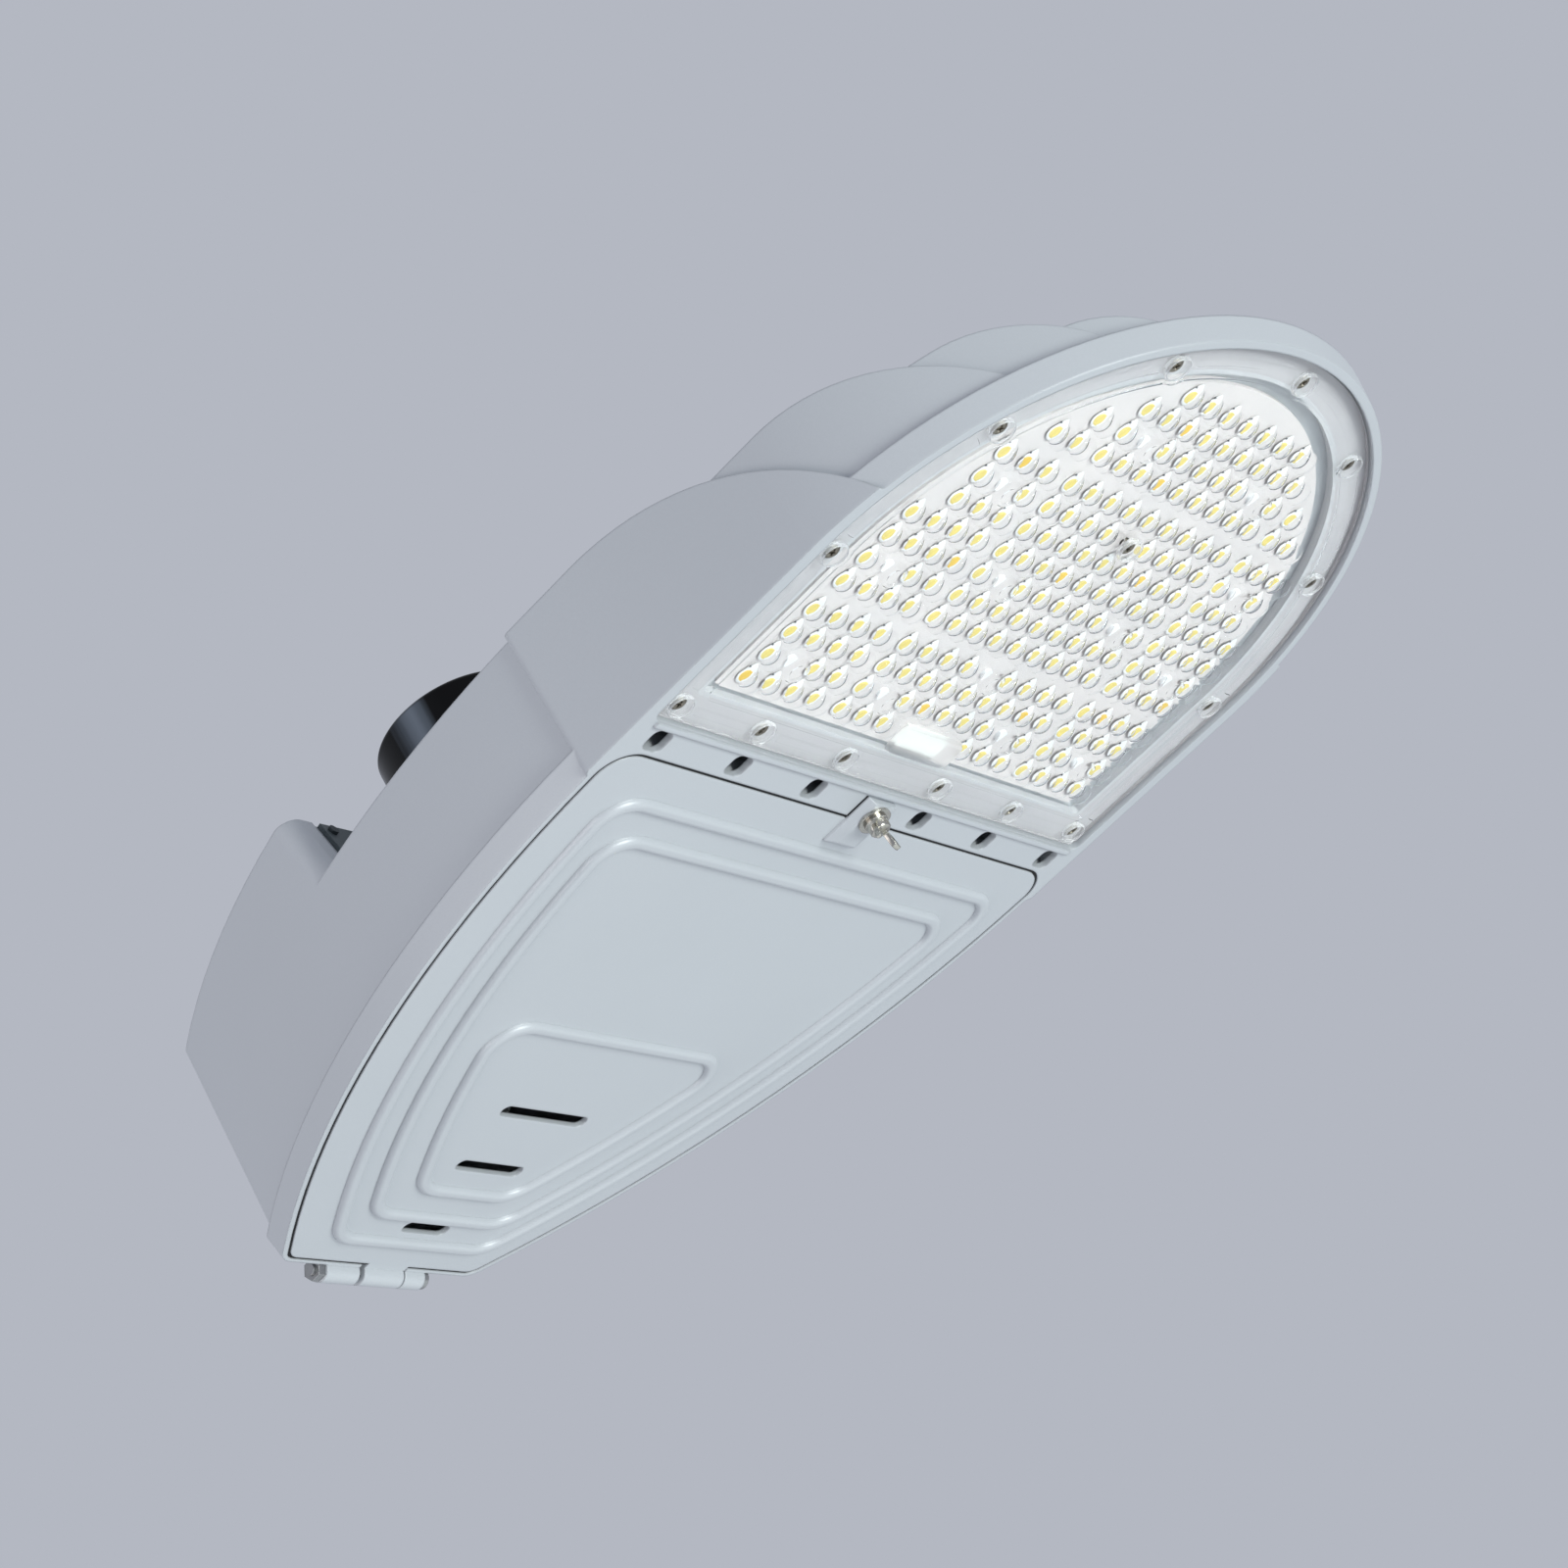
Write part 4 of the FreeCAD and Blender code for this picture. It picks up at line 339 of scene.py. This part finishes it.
def meshPiece(name, bm, materials, body, replaces, sharp):
    bmesh.ops.recalc_face_normals(bm, faces=bm.faces)
    mesh = bpy.data.meshes.new(name)
    bm.to_mesh(mesh)
    bm.free()
    for face in mesh.polygons:
        face.use_smooth = True
    mesh.set_sharp_from_angle(angle=math.radians(sharp))
    piece = bpy.data.objects.new(name, mesh)
    bpy.context.scene.collection.objects.link(piece)
    for material in materials:
        mesh.materials.append(material)
    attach(piece, body)
    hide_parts(*replaces)
    return piece


# Profiles give an inset or a radius, then a height: minus stands out of the plate's face, plus
# goes into it. The plate is one clear moulding, which sits on its seal with a wide flat border.
lens = {
    "centre": 387.0, "half": 144.6, "rear": 301.9, "corner": 4.0, "cornerSteps": 6,
    "face": -55.0, "thick": 2.45,
    "edge": ((0.0, 2.45), (0.0, 0.5), (0.15, 0.15), (0.5, 0.0)),
    "bonded": 12.4, "innerCorner": 3.2,
    "bead": ((13.0, 0.0), (13.35, -0.975), (13.6, -1.3), (14.2, -1.3), (14.45, -0.975),
             (14.8, 0.0)),
    "beadClear": (6.0, 0.3),  # how far the bead keeps from a screw, and more for each of its loops
    "pad": {"inner": 5.0, "outer": 8.9, "rise": 0.9, "taper": 0.45, "clear": 8.6, "least": 8},
    "boss": {"segments": 28, "profile": (
        (5.7, 0.0), (5.5, -0.2), (5.35, -1.0), (5.05, -1.3), (5.0, -1.3), (4.8, -1.05),
        (4.8, 1.8), (2.2, 1.8), (2.2, 2.45))},
    "dome": {"radius": 5.3, "height": 3.0, "shift": 0.6, "segments": 24, "rings": 6},
    "cavity": {"radius": 3.9, "height": 2.1, "tip": 1.5, "segments": 20, "rings": 5},
    "blind": {"segments": 24, "profile": (
        (5.6, 0.0), (5.4, -0.2), (5.25, -1.7), (4.7, -2.2), (3.8, -2.2), (3.4, -1.6))},
    "hump": {"x": 325.4, "long": 41.0, "wide": 14.6, "corner": 4.0, "cornerShare": 0.6,
             "profile": ((0.0, 0.0), (0.4, -0.7), (0.8, -1.9), (1.6, -2.45), (2.4, -2.6))},
    "sharp": 28,
}
# Rows run from the bridge to the tip, in three groups that stand a little apart, and columns run
# across in three groups. Some places stay empty, and the blind domes stand over board screws.
grid = {
    "first": 327.0, "along": 11.62, "side": 14.0, "groupGap": 0.235, "rowGap": 0.296,
    "columns": 17, "rows": 15, "middle": 8, "lastOfGroup": (3, 12), "lastRow": (3, 10),
    "missing": {0: (7, 8, 9), 1: (1, 5, 11, 15), 3: (8,), 5: (1, 15), 6: (5, 11), 8: (0, 16),
                9: (0, 2, 8, 14, 16), 10: (0, 16), 11: (0, 1, 15, 16),
                12: (0, 1, 2, 5, 11, 14, 15, 16), 13: (0, 1, 2, 3, 13, 14, 15, 16),
                14: (0, 1, 2, 3, 4, 12, 13, 14, 15, 16)},
    "blind": [(1, 1), (5, 1), (11, 1), (15, 1), (8, 3), (1, 5), (15, 5), (5, 6), (11, 6),
              (2, 9), (14, 9), (5, 12), (11, 12)],
    "centreScrew": (8, 9),
}
screwPlaces = {"circle": 136.0, "angles": (30, 60, 90), "rear": 308.8,
               "sides": (136.0, 86.5, 32.7)}


def ledPlace(column, row):
    groups = sum(column > last for last in grid["lastOfGroup"]) - 1
    sideSteps = column - grid["middle"] + grid["groupGap"] * groups
    alongSteps = row + grid["rowGap"] * sum(row > last for last in grid["lastRow"])
    return grid["first"] + grid["along"] * alongSteps, grid["side"] * sideSteps


ledSpots = [ledPlace(c, r) for r in range(grid["rows"]) for c in range(grid["columns"])
            if c not in grid["missing"].get(r, ())]
blindSpots = [ledPlace(c, r) for c, r in grid["blind"]]
rimScrews = [(lens["centre"] + screwPlaces["circle"], 0.0)]
for angle in screwPlaces["angles"]:
    for side in (1, -1):
        turn = math.radians(angle)
        rimScrews.append((lens["centre"] + screwPlaces["circle"] * math.cos(turn),
                          screwPlaces["circle"] * math.sin(turn) * side))
rimScrews += [(screwPlaces["rear"], y * side) for y in screwPlaces["sides"] for side in (1, -1)]
lensScrews = rimScrews + [ledPlace(*grid["centreScrew"])]


# The plate's outline moved inwards, with the same number of points for any inset
def lensOutline(inset, corner, arcSteps=96, sideSteps=24):
    centre, half, rear = lens["centre"], lens["half"] - inset, lens["rear"] + inset
    cornerSteps = lens["cornerSteps"]
    points = []
    for i in range(arcSteps + 1):
        turn = -math.pi / 2 + math.pi * i / arcSteps
        points.append((centre + half * math.cos(turn), half * math.sin(turn)))
    for i in range(1, sideSteps):
        points.append((centre + (rear + corner - centre) * i / sideSteps, half))
    for i in range(cornerSteps + 1):
        turn = math.pi / 2 * (1 + i / cornerSteps)
        points.append((rear + corner + corner * math.cos(turn),
                       half - corner + corner * math.sin(turn)))
    for i in range(1, sideSteps * 2):
        points.append((rear, (half - corner) * (1 - i / sideSteps)))
    for i in range(cornerSteps + 1):
        turn = math.pi * (1 + i / cornerSteps / 2)
        points.append((rear + corner + corner * math.cos(turn),
                       -half + corner + corner * math.sin(turn)))
    for i in range(1, sideSteps):
        points.append((rear + corner + (centre - rear - corner) * i / sideSteps, -half))
    return points


def pushedOut(point, centre, reach):
    away = Vector(point) - Vector(centre)
    if away.length >= reach:
        return tuple(point)
    return tuple(Vector(centre) + away.normalized() * reach)


# Both long sides of each raised pad of the border, one pad between each two screws
def padSides():
    pad = lens["pad"]
    line = lensOutline((pad["inner"] + pad["outer"]) / 2, lens["corner"], 240, 120)
    places = [Vector(p) for p in line]
    keep = [min((Vector(s) - p).length for s in rimScrews) > pad["clear"] for p in places]
    count = len(places)
    start = next(i for i in range(count) if keep[i] and not keep[i - 1])
    runs, run = [], []
    for k in range(count + 1):
        i = (start + k) % count
        if keep[i] and k < count:
            run.append(i)
        elif run:
            runs.append(run)
            run = []
    half = (pad["outer"] - pad["inner"]) / 2
    pads = []
    for run in runs:
        if len(run) < pad["least"]:
            continue
        left, right = [], []
        for i in run[::2] if len(run) % 2 else run[::2] + [run[-1]]:
            along = (places[(i + 1) % count] - places[i - 1]).normalized()
            across = Vector((-along.y, along.x))
            left.append(places[i] + across * half)
            right.append(places[i] - across * half)
        pads.append((left, right))
    return pads


def addPads(bm, face):
    bases = []
    pad = lens["pad"]
    for left, right in padSides():
        outline = left + right[::-1]
        middle = [(left[i] + right[i]) / 2 for i in range(len(left))]
        middle += middle[::-1]
        low = addLoop(bm, outline, face)
        high = addLoop(bm, [p + (m - p).normalized() * pad["taper"]
                            for p, m in zip(outline, middle)], face - pad["rise"])
        bridge(bm, [low, high])
        fillBetween(bm, high, [], True)
        bases.append(low)
    return bases


def addCap(bm, x, y, shape, z):  # half a ball, or half an egg where it has a tip; gives its base
    tip = shape.get("tip", 0.0)
    rings = []
    for k in range(shape["rings"]):
        turn = math.pi / 2 * k / shape["rings"]
        rings.append(addLoop(bm, circleLoop(x, y, shape["radius"] * math.cos(turn),
                                            shape["segments"], tip * math.cos(turn)),
                             z - shape["height"] * math.sin(turn)))
    bridge(bm, rings)
    capLoop(bm, rings[-1])
    return rings[0]


def addProfile(bm, x, y, shape, face):
    rings = [addLoop(bm, circleLoop(x, y, radius, shape["segments"]), face + height)
             for radius, height in shape["profile"]]
    bridge(bm, rings)
    return rings


def buildLens():
    bm = bmesh.new()
    face, back = lens["face"], lens["face"] + lens["thick"]
    rim = [addLoop(bm, lensOutline(inset, lens["corner"] - inset), face + height)
           for inset, height in lens["edge"]]
    bridge(bm, rim)
    # the edge faces take the opaque grey: painted shade
    paintFrom(bm, 0, 2)
    clear, more = lens["beadClear"]
    bead = []
    for k, (inset, height) in enumerate(lens["bead"]):
        line = lensOutline(inset, lens["innerCorner"], 288, 60)
        for screw in rimScrews:
            line = [pushedOut(p, screw, clear + more * k) for p in line]
        bead.append(addLoop(bm, line, face + height))
    bridge(bm, bead)
    backHoles, backEdgeHoles, edgeHoles, fieldHoles = [], [], [], []
    for i, (x, y) in enumerate(lensScrews):
        start = len(bm.faces)
        rings = addProfile(bm, x, y, lens["boss"], face)
        paintFrom(bm, start, 3)
        inField = i == len(lensScrews) - 1
        (backHoles if inField else backEdgeHoles).append(rings[-1])
        (fieldHoles if inField else edgeHoles).append(rings[0])
    edgeHoles += addPads(bm, face)
    for x, y in ledSpots:
        fieldHoles.append(addCap(bm, x + lens["dome"]["shift"], y, lens["dome"], face))
        backHoles.append(addCap(bm, x, y, lens["cavity"], back))
    for x, y in blindSpots:
        rings = addProfile(bm, x, y, lens["blind"], face)
        capLoop(bm, rings[-1])
        fieldHoles.append(rings[0])
    hump = lens["hump"]
    wide, long = hump["wide"] / 2, hump["long"] / 2
    rings = [addLoop(bm, boxLoop(hump["x"] - wide + inset, hump["x"] + wide - inset,
                                 -long + inset, long - inset,
                                 hump["corner"] - inset * hump["cornerShare"]), face + height)
             for inset, height in hump["profile"]]
    start = len(bm.faces)
    bridge(bm, rings)
    capLoop(bm, rings[-1])
    paintFrom(bm, start, 1)
    fieldHoles.append(rings[0])
    fillBetween(bm, rim[-1], edgeHoles + [bead[0]], True)
    fillBetween(bm, bead[-1], fieldHoles, True)
    bonded = addLoop(bm, lensOutline(lens["bonded"], lens["innerCorner"]), back)
    start = len(bm.faces)
    fillBetween(bm, rim[0], backEdgeHoles + [bonded], False)
    paintFrom(bm, start, 2)
    fillBetween(bm, bonded, backHoles, False)
    piece = meshPiece("lens_plate_clear", bm, [clearLens, frostedLens, lensEdge, bossLens],
                      "housing", ["lens_plate"], lens["sharp"])
    piece.visible_shadow = False  # the board behind it is lit as brightly as in the photograph
    return piece


lensPiece = buildLens()
print("lens done", len(lensPiece.data.polygons))

# Crown: share of the radius, then share of the rise. Dot: its place beside the LED and its radius.
led = {
    "board": -50.81, "pad": -51.02, "phosphor": -51.14, "radius": 2.85, "segments": 20,
    "crown": ((1.0, 0.0), (0.97, 0.5), (0.85, 0.85), (0.5, 1.0)),
    "padRadius": 3.6, "padTip": 2.7, "padShift": (0.0, 0.2), "padSegments": 32,
    "padFoot": 0.3, "padEdge": (0.2, 0.15),
    "dot": (4.3, -2.1, 0.4), "dotHeight": 0.4, "dotSegments": 8,
    "warmEvery": (7, 19),  # picks some LEDs, spread without a pattern, for the deeper yellow
    "sharp": 35,
}


def buildLeds():
    bm = bmesh.new()
    board, pad = led["board"], led["pad"]
    soft, softHeight = led["padEdge"]
    dotX, dotY, dotRadius = led["dot"]
    step, every = led["warmEvery"]
    for i, (x, y) in enumerate(ledSpots):
        padX, padY = x + led["padShift"][0], y + led["padShift"][1]
        case = [addLoop(bm, circleLoop(padX, padY, led["padRadius"] - inset, led["padSegments"],
                                       led["padTip"]), z)
                for inset, z in ((-led["padFoot"], board), (0.0, pad + softHeight), (soft, pad))]
        bridge(bm, case)
        capLoop(bm, case[0], True)
        rings = [addLoop(bm, circleLoop(x, y, led["radius"] * grow, led["segments"]),
                         pad + (led["phosphor"] - pad) * rise) for grow, rise in led["crown"]]
        fillBetween(bm, case[-1], [rings[0]], True)
        start = len(bm.faces)
        bridge(bm, rings)
        capLoop(bm, rings[-1])
        paintFrom(bm, start, 3 if i * step % every == 0 else 1)
        start = len(bm.faces)
        rings = [addLoop(bm, circleLoop(x + dotX, y + dotY, dotRadius, led["dotSegments"]), z)
                 for z in (board, board - led["dotHeight"])]
        bridge(bm, rings)
        capLoop(bm, rings[1])
        capLoop(bm, rings[0], True)
        paintFrom(bm, start, 2)
    return meshPiece("led_packages_detailed", bm, [padWhite, phosphor, greyPad, warmPhosphor],
                     "housing", ["led_packages"], led["sharp"])


buildLeds()
print("leds done")

# Heights are from the screw's seat. Hub: height, then radius. Wing: distance from the axis, then
# height.
latch = {
    "x": 290.5, "y": 4.0, "seat": -62.2, "turn": 10.0,
    "hub": ((0.0, 4.9), (-1.1, 4.9), (-1.3, 4.5), (-4.4, 4.3), (-4.9, 3.9), (-5.0, 2.9)),
    "wing": ((1.6, -2.4), (4.4, -2.6), (9.2, -9.6), (9.5, -10.6), (8.7, -11.0), (6.2, -10.2),
             (5.4, -9.4), (3.4, -5.2), (1.6, -4.9)),
    "wingThick": 2.2, "wingSoft": (0.35, 0.4), "wingMiddle": (4.6, -6.2),
    "thread": (3.0, 2.6, 1.0),  # outer radius, root radius and pitch
    "shank": (-0.5, 5.9), "threadFrom": 6.0, "plainEnd": 1.2, "point": 0.8, "top": 22.2,
    "hubSegments": 40, "threadSegments": 28, "sharp": 40,
}


def turned(bm, x, y, profile, segments):  # profile runs from its lower end to its upper end
    rings = [addLoop(bm, circleLoop(x, y, radius, segments), z) for z, radius in profile]
    bridge(bm, rings)
    capLoop(bm, rings[0], True)
    capLoop(bm, rings[-1])


def buildWingScrew():
    bm = bmesh.new()
    x, y, seat = latch["x"], latch["y"], latch["seat"]
    turned(bm, x, y, [(seat + z, radius) for z, radius in reversed(latch["hub"])],
           latch["hubSegments"])
    outer, root, pitch = latch["thread"]
    profile = [(seat + z, outer) for z in latch["shank"]]
    z = seat + latch["threadFrom"]
    while z < seat + latch["top"] - latch["plainEnd"]:
        profile += [(z, root), (z + pitch * 0.25, root), (z + pitch * 0.5, outer),
                    (z + pitch * 0.75, outer)]
        z += pitch
    profile += [(z, root), (seat + latch["top"], root * latch["point"])]
    turned(bm, x, y, profile, latch["threadSegments"])
    turn = Matrix.Rotation(math.radians(latch["turn"]), 3, "Z")
    half = latch["wingThick"] / 2
    soft, shorter = latch["wingSoft"]
    middle = Vector(latch["wingMiddle"])
    for side in (1, -1):
        loops = []
        for across, shrink in ((-half, shorter), (soft - half, 0.0), (half - soft, 0.0),
                               (half, shorter)):
            loop = []
            for point in latch["wing"]:
                out = Vector(point)
                out += (middle - out).normalized() * shrink
                place = turn @ Vector((across, out.x * side, 0.0))
                loop.append(bm.verts.new(((x + place.x) * mm, (y + place.y) * mm,
                                          (seat + out.y) * mm)))
            loops.append(loop)
        bridge(bm, loops)
        capLoop(bm, loops[0], True)
        capLoop(bm, loops[-1])
    return meshPiece("wing_screw_detailed", bm, [stainless], "wing_screw", ["wing_screw"],
                     latch["sharp"])


buildWingScrew()
print("wing screw done")

# Screws with a low round head and a cross slot, inside the plate's ring bosses
panHead = {
    "seat": -53.2, "radius": 3.2, "rise": 1.0, "shank": 1.8, "length": 5.0, "segments": 32,
    "crown": ((1.0, 0.0), (1.0, 0.35), (0.93, 0.65), (0.78, 0.88), (0.6, 1.0)),
    "slot": (0.5, 1.6, 0.7), "slotTaper": 0.75,  # half width, reach and depth
    "spin": (0.6, 0.9),  # each screw stopped at another angle
    "sharp": 35,
}


def buildLensScrews():
    bm = bmesh.new()
    seat, rise, segments = panHead["seat"], panHead["rise"], panHead["segments"]
    a, b, deep = panHead["slot"]
    cross = [(a, a), (a, b), (-a, b), (-a, a), (-b, a), (-b, -a), (-a, -a), (-a, -b),
             (a, -b), (a, -a), (b, -a), (b, a)]
    firstSpin, moreSpin = panHead["spin"]
    for i, (x, y) in enumerate(lensScrews):
        rings = [addLoop(bm, circleLoop(x, y, panHead["radius"] * grow, segments),
                         seat - rise * up) for grow, up in panHead["crown"]]
        bridge(bm, rings)
        spin = firstSpin + moreSpin * i
        slot = [(x + px * math.cos(spin) - py * math.sin(spin),
                 y + px * math.sin(spin) + py * math.cos(spin)) for px, py in cross]
        sunk = [(x + (px - x) * panHead["slotTaper"], y + (py - y) * panHead["slotTaper"])
                for px, py in slot]
        top = addLoop(bm, slot, seat - rise)
        low = addLoop(bm, sunk, seat - rise + deep)
        bridge(bm, [top, low])
        capLoop(bm, low)
        fillBetween(bm, rings[-1], [top], True)
        shank = [addLoop(bm, circleLoop(x, y, panHead["shank"], segments), z)
                 for z in (seat, seat + panHead["length"])]
        fillBetween(bm, rings[0], [shank[0]], False)
        bridge(bm, shank)
        capLoop(bm, shank[1])
    return meshPiece("lens_screws_detailed", bm, [nickel], "housing", ["lens_screws"],
                     panHead["sharp"])


buildLensScrews()
print("lens screws done")

# Door outline and heights, then the foam strip's insets from the door's edge and the lip's reach
# beyond it. The black lip sits close under the gap's mouth: partly the seal, partly painted shade.
doorSealAndGapShade = {
    "half": 145.3, "tail": 2.0, "corner": 8.0, "front": 284.5, "frontCorner": 13.0,
    "taperStart": 277.0, "taperRadius": 466.3, "cornerSteps": 8, "taperSteps": 48,
    "back": -54.5, "seat": -52.0, "strip": (1.0, 4.2), "flange": -54.1,
    "lip": (0.05, 1.25), "lipFaceForGapShade": -56.6, "lipSoft": 0.2,
    # a short black strip beside the latch's tab: painted shadow for the dark gap line there
    "tab": {"x": (286.0, 297.4), "y": (-5.7, -4.7), "z": (-57.35, -57.02), "corner": 0.15,
            "steps": 2},
    "sharp": 40,
}


# The door's edge moved outwards: two rounded front corners, two long arcs and two tail corners
def doorLoop(off):
    seal = doorSealAndGapShade
    half, tail, corner = seal["half"] + off, seal["tail"] - off, seal["corner"] + off
    front, frontCorner = seal["front"] + off, seal["frontCorner"] + off
    start, radius = seal["taperStart"], seal["taperRadius"] + off
    middleY = half - radius
    sideFrom = front - frontCorner
    noseY = middleY + math.sqrt((radius - frontCorner) ** 2 - (start - sideFrom) ** 2)
    footY = middleY + math.sqrt((radius - corner) ** 2 - (start - tail - corner) ** 2)
    turnFrom = math.atan2(noseY - middleY, sideFrom - start)
    turnTo = math.atan2(footY - middleY, tail + corner - start)
    arcs = ((sideFrom, noseY, frontCorner, 0.0, turnFrom, seal["cornerSteps"]),
            (start, middleY, radius, turnFrom, turnTo, seal["taperSteps"]),
            (tail + corner, footY, corner, turnTo, math.pi, seal["cornerSteps"]))
    upper = []
    for x, y, r, first, last, steps in arcs:
        for i in range(steps):
            turn = first + (last - first) * i / steps
            upper.append((x + r * math.cos(turn), y + r * math.sin(turn)))
    upper.append((tail, footY))
    return upper + [(x, -y) for x, y in reversed(upper)]


def buildDoorSealAndGapShade():
    bm = bmesh.new()
    seal = doorSealAndGapShade
    outer, inner = (-inset for inset in seal["strip"])
    near, far = seal["lip"]
    face, soft = seal["lipFaceForGapShade"], seal["lipSoft"]
    # the lip's black face near the gap's mouth is partly the seal, partly painted shade of the gap
    section = ((inner, seal["back"]), (near, seal["back"]), (near, face + soft),
               (near + soft, face), (far - soft, face), (far, face + soft),
               (far, seal["flange"]), (outer, seal["flange"]), (outer, seal["seat"]),
               (inner, seal["seat"]))
    rings = [addLoop(bm, doorLoop(off), z) for off, z in section]
    bridge(bm, rings + rings[:1])
    # painted shadow: the black strip beside the latch, just proud of the bridge
    tab = seal["tab"]
    loops = [addLoop(bm, boxLoop(*tab["x"], *tab["y"], tab["corner"], tab["steps"]), z)
             for z in tab["z"]]
    bridge(bm, loops)
    capLoop(bm, loops[0], True)
    capLoop(bm, loops[1])
    return meshPiece("door_gasket_and_painted_gap_shade", bm, [foam], "door", ["door_gasket"],
                     seal["sharp"])


buildDoorSealAndGapShade()
print("door seal done")

stageLook = {"floorPlace": (0.3, 0, -3.2), "floorSize": 14.0, "wall": "B4B8C2", "strength": 1.0}
bpy.ops.mesh.primitive_plane_add(size=stageLook["floorSize"], location=stageLook["floorPlace"])
floor = bpy.context.object
floor.name = "stage_floor"
# Matt painted floor, with faint patches a hand wide
floor.data.materials.append(surface("pale_floor", "D2D5DA", "DDDFE3", (0.6, 0.75), 33.333))

world = bpy.data.worlds.new("studio")
bpy.context.scene.world = world
world.use_nodes = True
background = world.node_tree.nodes["Background"]
background.inputs["Color"].default_value = toLinear(stageLook["wall"])
background.inputs["Strength"].default_value = stageLook["strength"]

# Soft boxes: place, aim, width (metres), power (watts) and tint
lights = {
    "key_tip": ((3.12, -0.63, -2.03), (0.2, 0, -0.05), 1.5, 98.0, "F6FCF8"),
    "fill_left": ((-0.35, -1.2, -0.35), (0.1, 0, 0), 1.0, 5.5, "FFF9F8"),
    "under_fill": ((0.0, 0.6, -1.5), (0.15, 0, -0.05), 2.4, 11.0, "F4FCF8"),
    "top_soft": ((0.2, 0.5, 2.2), (0.3, 0, 0), 2.4, 2.0, "FFFFFF"),
}
for name, (place, aim, size, power, tint) in lights.items():
    data = bpy.data.lights.new(name, "AREA")
    data.size = size
    data.energy = power
    data.color = toLinear(tint)[:3]
    lamp = bpy.data.objects.new(name, data)
    bpy.context.scene.collection.objects.link(lamp)
    lamp.location = place
    lamp.rotation_euler = (Vector(aim) - Vector(place)).to_track_quat("-Z", "Y").to_euler()

# The photograph's view: its place in metres, the picture's right and down, and the line of sight
shot = {
    "place": (0.711, -1.041, -0.6592),
    "right": (0.67698828, 0.57109124, -0.46426465),
    "down": (-0.65213035, 0.17302246, -0.73809839),
    "forward": (-0.34119332, 0.80244503, 0.48956011),
    "lens": 76.51, "sensor": 36.0,
}
cameraData = bpy.data.cameras.new("photo_camera")
cameraData.lens = shot["lens"]
cameraData.sensor_width = shot["sensor"]
camera = bpy.data.objects.new("photo_camera", cameraData)
bpy.context.scene.collection.objects.link(camera)
axes = (Vector(shot["right"]), -Vector(shot["down"]), -Vector(shot["forward"]))
camera.matrix_world = Matrix.Translation(shot["place"]) @ Matrix(axes).transposed().to_4x4()
bpy.context.scene.view_settings.view_transform = "Standard"
bpy.context.scene.camera = camera
print("stage done")
